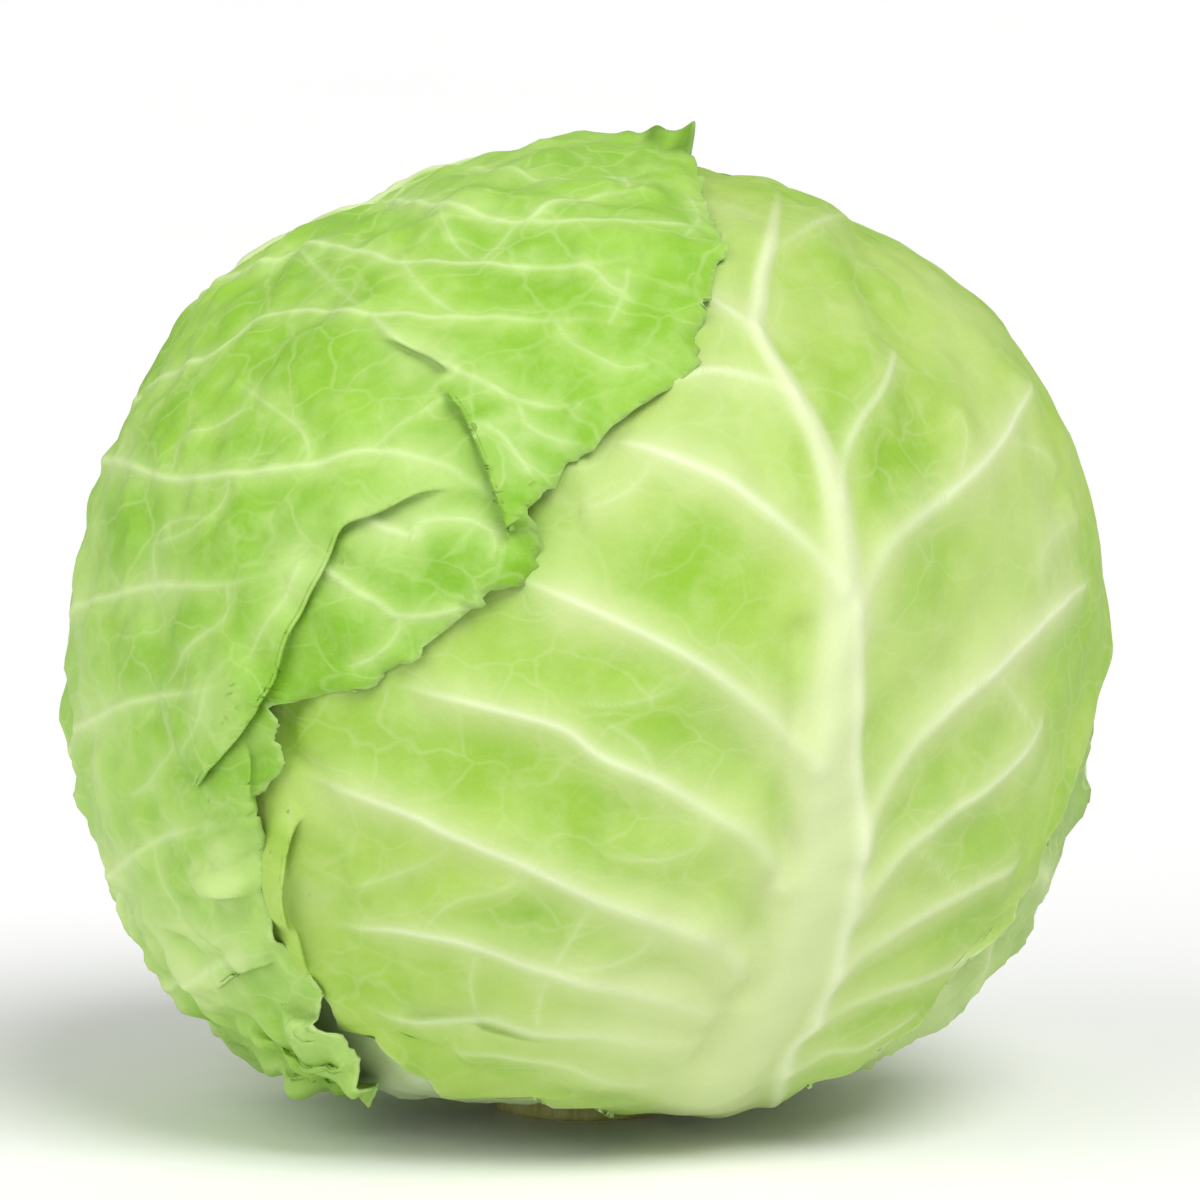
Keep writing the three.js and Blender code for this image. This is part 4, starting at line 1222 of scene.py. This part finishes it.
# Pleats: the line of the lip in pixels with the raised side on its left, then how high, how far it
# laps over, and how far its rise reaches back.
LEFT_FOLDS = [
    ([(200, 792), (212, 770), (234, 744), (254, 720), (277, 684), (289, 646), (301, 618), (320, 583),
      (334, 552), (350, 526), (376, 514), (395, 506), (419, 496), (449, 490), (475, 482)],
     2.3, 1.7, 26, (5, 16)),
    ([(440, 390), (460, 405), (473, 428), (487, 461), (497, 488), (504, 508), (508, 534)],
     2.0, 1.6, 13, (5, 1.5)),
    ([(508, 534), (521, 522), (532, 506), (548, 493)], 1.5, 0.9, 6, (1, 3)),
    ([(258, 862), (258, 823), (255, 790), (252, 759), (247, 735)], 1.5, 1.0, 10, (4, 4)),
    ([(350, 1059), (330, 1058), (312, 1056), (290, 1048), (270, 1038), (245, 1024)], 1.9, 1.5, 12, (3, 8)),
    ([(368, 1086), (345, 1080), (318, 1074), (296, 1072), (272, 1062)], 1.6, 1.2, 8, (2, 6)),
    ([(322, 1022), (306, 1016), (292, 1012), (270, 1004)], 1.3, 1.0, 7, (2, 6)),
    ([(372, 340), (400, 346), (430, 358), (450, 374)], 1.5, 0.9, 9, (8, 3)),
    ([(545, 520), (560, 500), (571, 484)], 0.8, 0.5, 6, (2, 4)),
    ([(200, 893), (225, 890), (252, 900)], 1.0, 0.7, 8, (5, 4)),
    ([(222, 984), (245, 972), (275, 966)], 1.4, 0.9, 9, (5, 4)),
]
LEFT_CREASES = [
    ([(453, 381), (468, 381), (481, 394)], 1.1, 1.0),
    ([(481, 383), (490, 396), (497, 410)], 0.7, 1.0),
    ([(452, 378), (430, 402), (409, 426)], -0.8, 0.8),
    ([(440, 395), (400, 388), (350, 385), (300, 395)], 0.6, 1.8),
    ([(352, 521), (335, 516), (318, 521), (298, 527)], 0.7, 0.9),
    ([(508, 535), (519, 551), (528, 566)], 1.0, 0.9),
    ([(180, 820), (203, 828), (228, 820), (238, 800)], 1.5, 1.5),
    ([(287, 1045), (289, 1077)], 1.5, 1.2),
    ([(318, 1060), (326, 1076), (332, 1096)], 1.2, 1.1),
    ([(468, 597), (490, 578), (511, 557)], -1.0, 1.0),
    ([(262, 1000), (240, 985), (215, 985)], 0.9, 1.8),
    ([(120, 905), (170, 900), (230, 905)], 0.8, 2.2),
    ([(90, 820), (130, 800), (180, 790)], 0.8, 2.2),
    ([(240, 370), (190, 420), (150, 440)], 0.4, 2.6),
    ([(640, 420), (600, 400), (560, 380), (520, 372)], 0.6, 1.8),
    ([(660, 350), (620, 340), (580, 338)], 0.6, 1.5),
    ([(690, 310), (640, 300), (600, 296), (560, 300)], 0.5, 1.5),
]
LEFT_DEEP = [
    (430, 590, 16, 0.9), (350, 640, 10, 0.6), (470, 560, 9, 0.6), (430, 400, 10, 0.7),
    (505, 450, 10, 0.9), (550, 430, 8, 0.8), (545, 350, 12, 0.5), (640, 340, 10, 0.6),
    (680, 280, 8, 0.4), (230, 500, 14, 0.4), (200, 620, 16, 0.4), (300, 500, 10, 0.5),
    (260, 600, 12, 0.4), (250, 440, 10, 0.35), (200, 780, 8, 0.6), (290, 700, 5, 0.8),
    (265, 780, 5, 0.9), (240, 1060, 10, 0.5), (330, 1030, 8, 0.5), (630, 150, 12, 0.5),
    (690, 150, 7, 0.9), (590, 290, 10, 0.3),
]
# Paler spots: pixel, spread in mm, strength. Partly the leaf's own paler tissue, partly painted light that
# brightens the left edge and the lower left, which the key light from the right leaves in shade.
LEFT_PALE = [
    (110, 880, 18, 0.6), (180, 960, 16, 0.6), (220, 700, 8, 0.5), (300, 560, 8, 0.5),
    (150, 590, 10, 0.4), (100, 740, 12, 0.4), (300, 1000, 9, 0.3), (430, 480, 9, 0.4),
    (390, 530, 6, 0.4), (240, 860, 10, 0.5), (230, 940, 10, 0.5), (420, 360, 8, 0.4),
    (480, 170, 30, 0.2), (85, 560, 12, 0.5), (80, 680, 12, 0.4), (130, 440, 10, 0.3),
]
# Heights in mm: the veins' relief by this factor, the swellings between them, how far the whole leaf
# is set back, and how far it may sink before it would touch the leaf below.
LEFT_RELIEF = 1.8
LEFT_BLISTER = 0.8
LEFT_SET_BACK = 0.6
LEFT_SINKS = 0.5
# The puckers low on the leaf: the height of the wide and the fine ones, and how far their valleys lie
# below the rest of the leaf.
PUCKER_WIDE = 2.0
PUCKER_FINE = 1.1
PUCKER_SET_BACK = 1.8
LEFT_SPACING = 1.35
# The frilled corner of the leaf's tip on top of the head: its place, its reach, and the rise and the
# width of its lobes, in mm. Lobes are counted from a place across the head.
FRILL_AT = directions(68, 79.5)
FRILL_REACH = 9
FRILL_RISE = 4.6
FRILL_LOBE = 1.2
FRILL_LOBE_WIDTH = 4.2
FRILL_LOBE_FROM = 10.8


def make_left_leaf():
    veins = []
    traced = traced_veins(LEFT, [vein[1:] for vein in LEFT_VEINS])
    for (start, *_), (curve, *sizes) in zip(LEFT_VEINS, traced):
        root = LEFT.directions(np.array([0.02, 0.12]), np.array([start, start]))
        veins.append((np.vstack([root, curve]), *sizes))
    veins += traced_veins(LEFT, LEFT_BRANCHES)
    folds = seen_lines(LEFT, [fold_line for fold_line, *_ in LEFT_FOLDS])
    creases = seen_lines(LEFT, [crease_line for crease_line, *_ in LEFT_CREASES])
    narrow = [(curve, half) for curve, (_, _, half) in zip(creases, LEFT_CREASES)]
    lines = close_lines(veins, folds, narrow)
    spacing = LEFT_SPACING
    row_steps = np.linspace(0, LEFT.last, int(LEFT.last * PLAN_MM[1] / spacing))
    behind = np.linspace(-1, 0, int(PLAN_MM[0] / (1.7 * spacing)))[:-1]
    u_steps = np.concatenate([behind, np.linspace(0, 1, int(PLAN_MM[0] / spacing))])
    d, u, row, triangles, rim = LEFT.mesh(margin_steps(u_steps), row_steps, lines, 0.7)
    v = row / LEFT.last
    front_half = smooth(u, -0.1, 0.2)
    to_margin = margin_distance(LEFT, d, u, row)

    veins += net_veins(LEFT, sides=(-1,), seed=51, width=1.9, height=0.5)
    relief, line, halo, nearest = veins_on(d, veins)
    crest = LEFT.directions(np.zeros_like(row), row)
    from_crest = np.arccos(np.clip(np.einsum("ij,ij->i", crest, d), -1, 1)) * HEAD_SCALE
    rib = np.maximum(0, 1 - (from_crest / (9 * (1 - 0.8 * v))) ** 2)
    high = 4.0 * (1 - 0.75 * v) * rib * smooth(1 - v, 0, 0.15)

    blister = smooth(nearest, 0.5, 6)
    body = high + LEFT_RELIEF * relief + LEFT_BLISTER * blister - LEFT_SET_BACK + 0.5 * swell(d, 20, 61)
    body += (0.45 * swell(d, 10, 63) + 0.16 * swell(d, 4.5, 65)) * (0.4 + 0.6 * front_half)
    pucker = PUCKER_WIDE * np.abs(swell(d, 22, 81)) + PUCKER_FINE * np.abs(swell(d, 9, 83)) - PUCKER_SET_BACK
    low = smooth(-d[:, 2], 0, 0.35) * smooth(v, 0.04, 0.12)
    body += pucker * low
    moved = np.zeros((len(d), 3))
    shade = np.zeros(len(d))
    raised = np.zeros(len(d))
    for curve, (_, height, overhang, reach, ends) in zip(folds, LEFT_FOLDS):
        up, slide, under = fold(d, curve, height, overhang, reach, ends)
        raised = np.maximum(raised, up)
        moved += slide
        # Painted shade: the blade under each fold's lip is painted darker.
        shade = np.maximum(shade, 0.5 * under)
    body += raised
    for curve, (_, depth, half_width) in zip(creases, LEFT_CREASES):
        body += crease(d, curve, depth, half_width)
    sunk = -LEFT_SINKS - LEFT_SINKS * np.tanh((-LEFT_SINKS - body) / LEFT_SINKS)
    body = np.where(body < -LEFT_SINKS, sunk, body)

    edge = np.exp(-to_margin / 3.0)
    wave = swell(d, 11, 67) + 0.5 * swell(d, 5, 69)
    body += (-1.3 + 0.8 * wave) * edge * smooth(v, 0.05, 0.15)
    frill = np.exp(-((np.linalg.norm(d - FRILL_AT, axis=1) * HEAD_SCALE / FRILL_REACH) ** 2))
    frill *= np.maximum(smooth(u, 0.7, 0.97), smooth(row, 12.3, 12.95) * smooth(u, 0.1, 0.5))
    frill *= 1 - 0.65 * smooth(u, 0.88, 1) * smooth(row, 12.35, 13)
    lobes = np.cos((d[:, 0] * HEAD_SCALE - FRILL_LOBE_FROM) * 2 * math.pi / FRILL_LOBE_WIDTH)
    body += frill * (FRILL_RISE + FRILL_LOBE * lobes)
    moved += (frill * (3.0 + 1.6 * smooth(u, 0.85, 1)))[:, None] * VIEW_RIGHT
    # Painted shade: the frilled corner is painted darker, most on the lobes that rise highest.
    shade = np.maximum(shade, (0.55 + 0.3 * lobes) * smooth(frill, 0.08, 0.35))

    thickness = BLADE_AT_MARGIN + (BLADE - BLADE_AT_MARGIN) * smooth(to_margin, 0, 5) + high
    points = d * (LEFT.bed(d) + BLADE + body)[:, None] + moved
    fields = {
        "vein": np.clip(0.62 * line + 0.8 * smooth(rib, 0.1, 0.9), 0, 1),
        "pale": np.clip(
            0.4 * halo
            + 0.8 * smooth(rib, 0, 0.5)
            + 0.8 * patches(d, LEFT, LEFT_PALE)
            # Painted light: the pucker ridges low on the leaf are painted paler.
            + 0.3 * low * smooth(pucker, -0.6, 0.8),
            0, 1,
        ),
        "deep": np.clip(
            patches(d, LEFT, LEFT_DEEP) * (0.4 + 0.6 * smooth(nearest, 1, 5))
            # Painted shade: the pucker valleys low on the leaf are painted a deeper green.
            + 0.6 * low * smooth(-pucker, 0.7, 1.6),
            0, 1,
        ),
        "rim": 0.3 * (1 - smooth(to_margin, 0, 0.7)),
        "shade": shade,
    }
    finish = leaf_finish(
        "left_leaf",
        green=paint(146, 192, 62),
        deep=paint(120, 174, 28),
        pale=paint(194, 216, 142),
        vein=paint(208, 226, 166),
        net_share=0.24,
    )
    piece = blade_piece("left_leaf", points, triangles, rim, thickness, finish, fields)
    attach(piece, "root")
    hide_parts("leaf_left")


make_left_leaf()

# The floor and the light
# A plain pale table top under a large soft light from the upper right, with white all round.
FLOOR_SIZE = 8
ROOM_LIGHT = 0.42
floor_finish = Finish("table_top")
floor_finish.surface(
    Base_Color=floor_finish.blend(floor_finish.noise(3.0), paint(246, 246, 245), paint(250, 250, 250)),
    Roughness=0.6,
)
bpy.ops.mesh.primitive_plane_add(size=FLOOR_SIZE, location=(0, 0, 0))
floor = bpy.context.object
floor.name = "table_top"
floor.data.materials.append(floor_finish.material)

world = bpy.data.worlds.new("white_room")
world.use_nodes = True
world.node_tree.nodes["Background"].inputs["Color"].default_value = (1, 1, 1, 1)
world.node_tree.nodes["Background"].inputs["Strength"].default_value = ROOM_LIGHT
bpy.context.scene.world = world


def soft_light(name, azimuth, elevation, strength, spread):
    """Light from one side. The spread is the angle that its source fills, and softens the shadows."""
    data = bpy.data.lights.new(name, "SUN")
    data.energy = strength
    data.angle = math.radians(spread)
    light = bpy.data.objects.new(name, data)
    way = Vector(directions(azimuth, elevation))
    light.location = way
    light.rotation_mode = "QUATERNION"
    light.rotation_quaternion = way.to_track_quat("Z", "Y")
    bpy.context.scene.collection.objects.link(light)


soft_light("key_light", 35, 53, 2.2, 35)
soft_light("fill_light", -50, 28, 1.25, 60)

bpy.context.scene.view_settings.view_transform = "Standard"
bpy.context.scene.view_settings.look = "None"
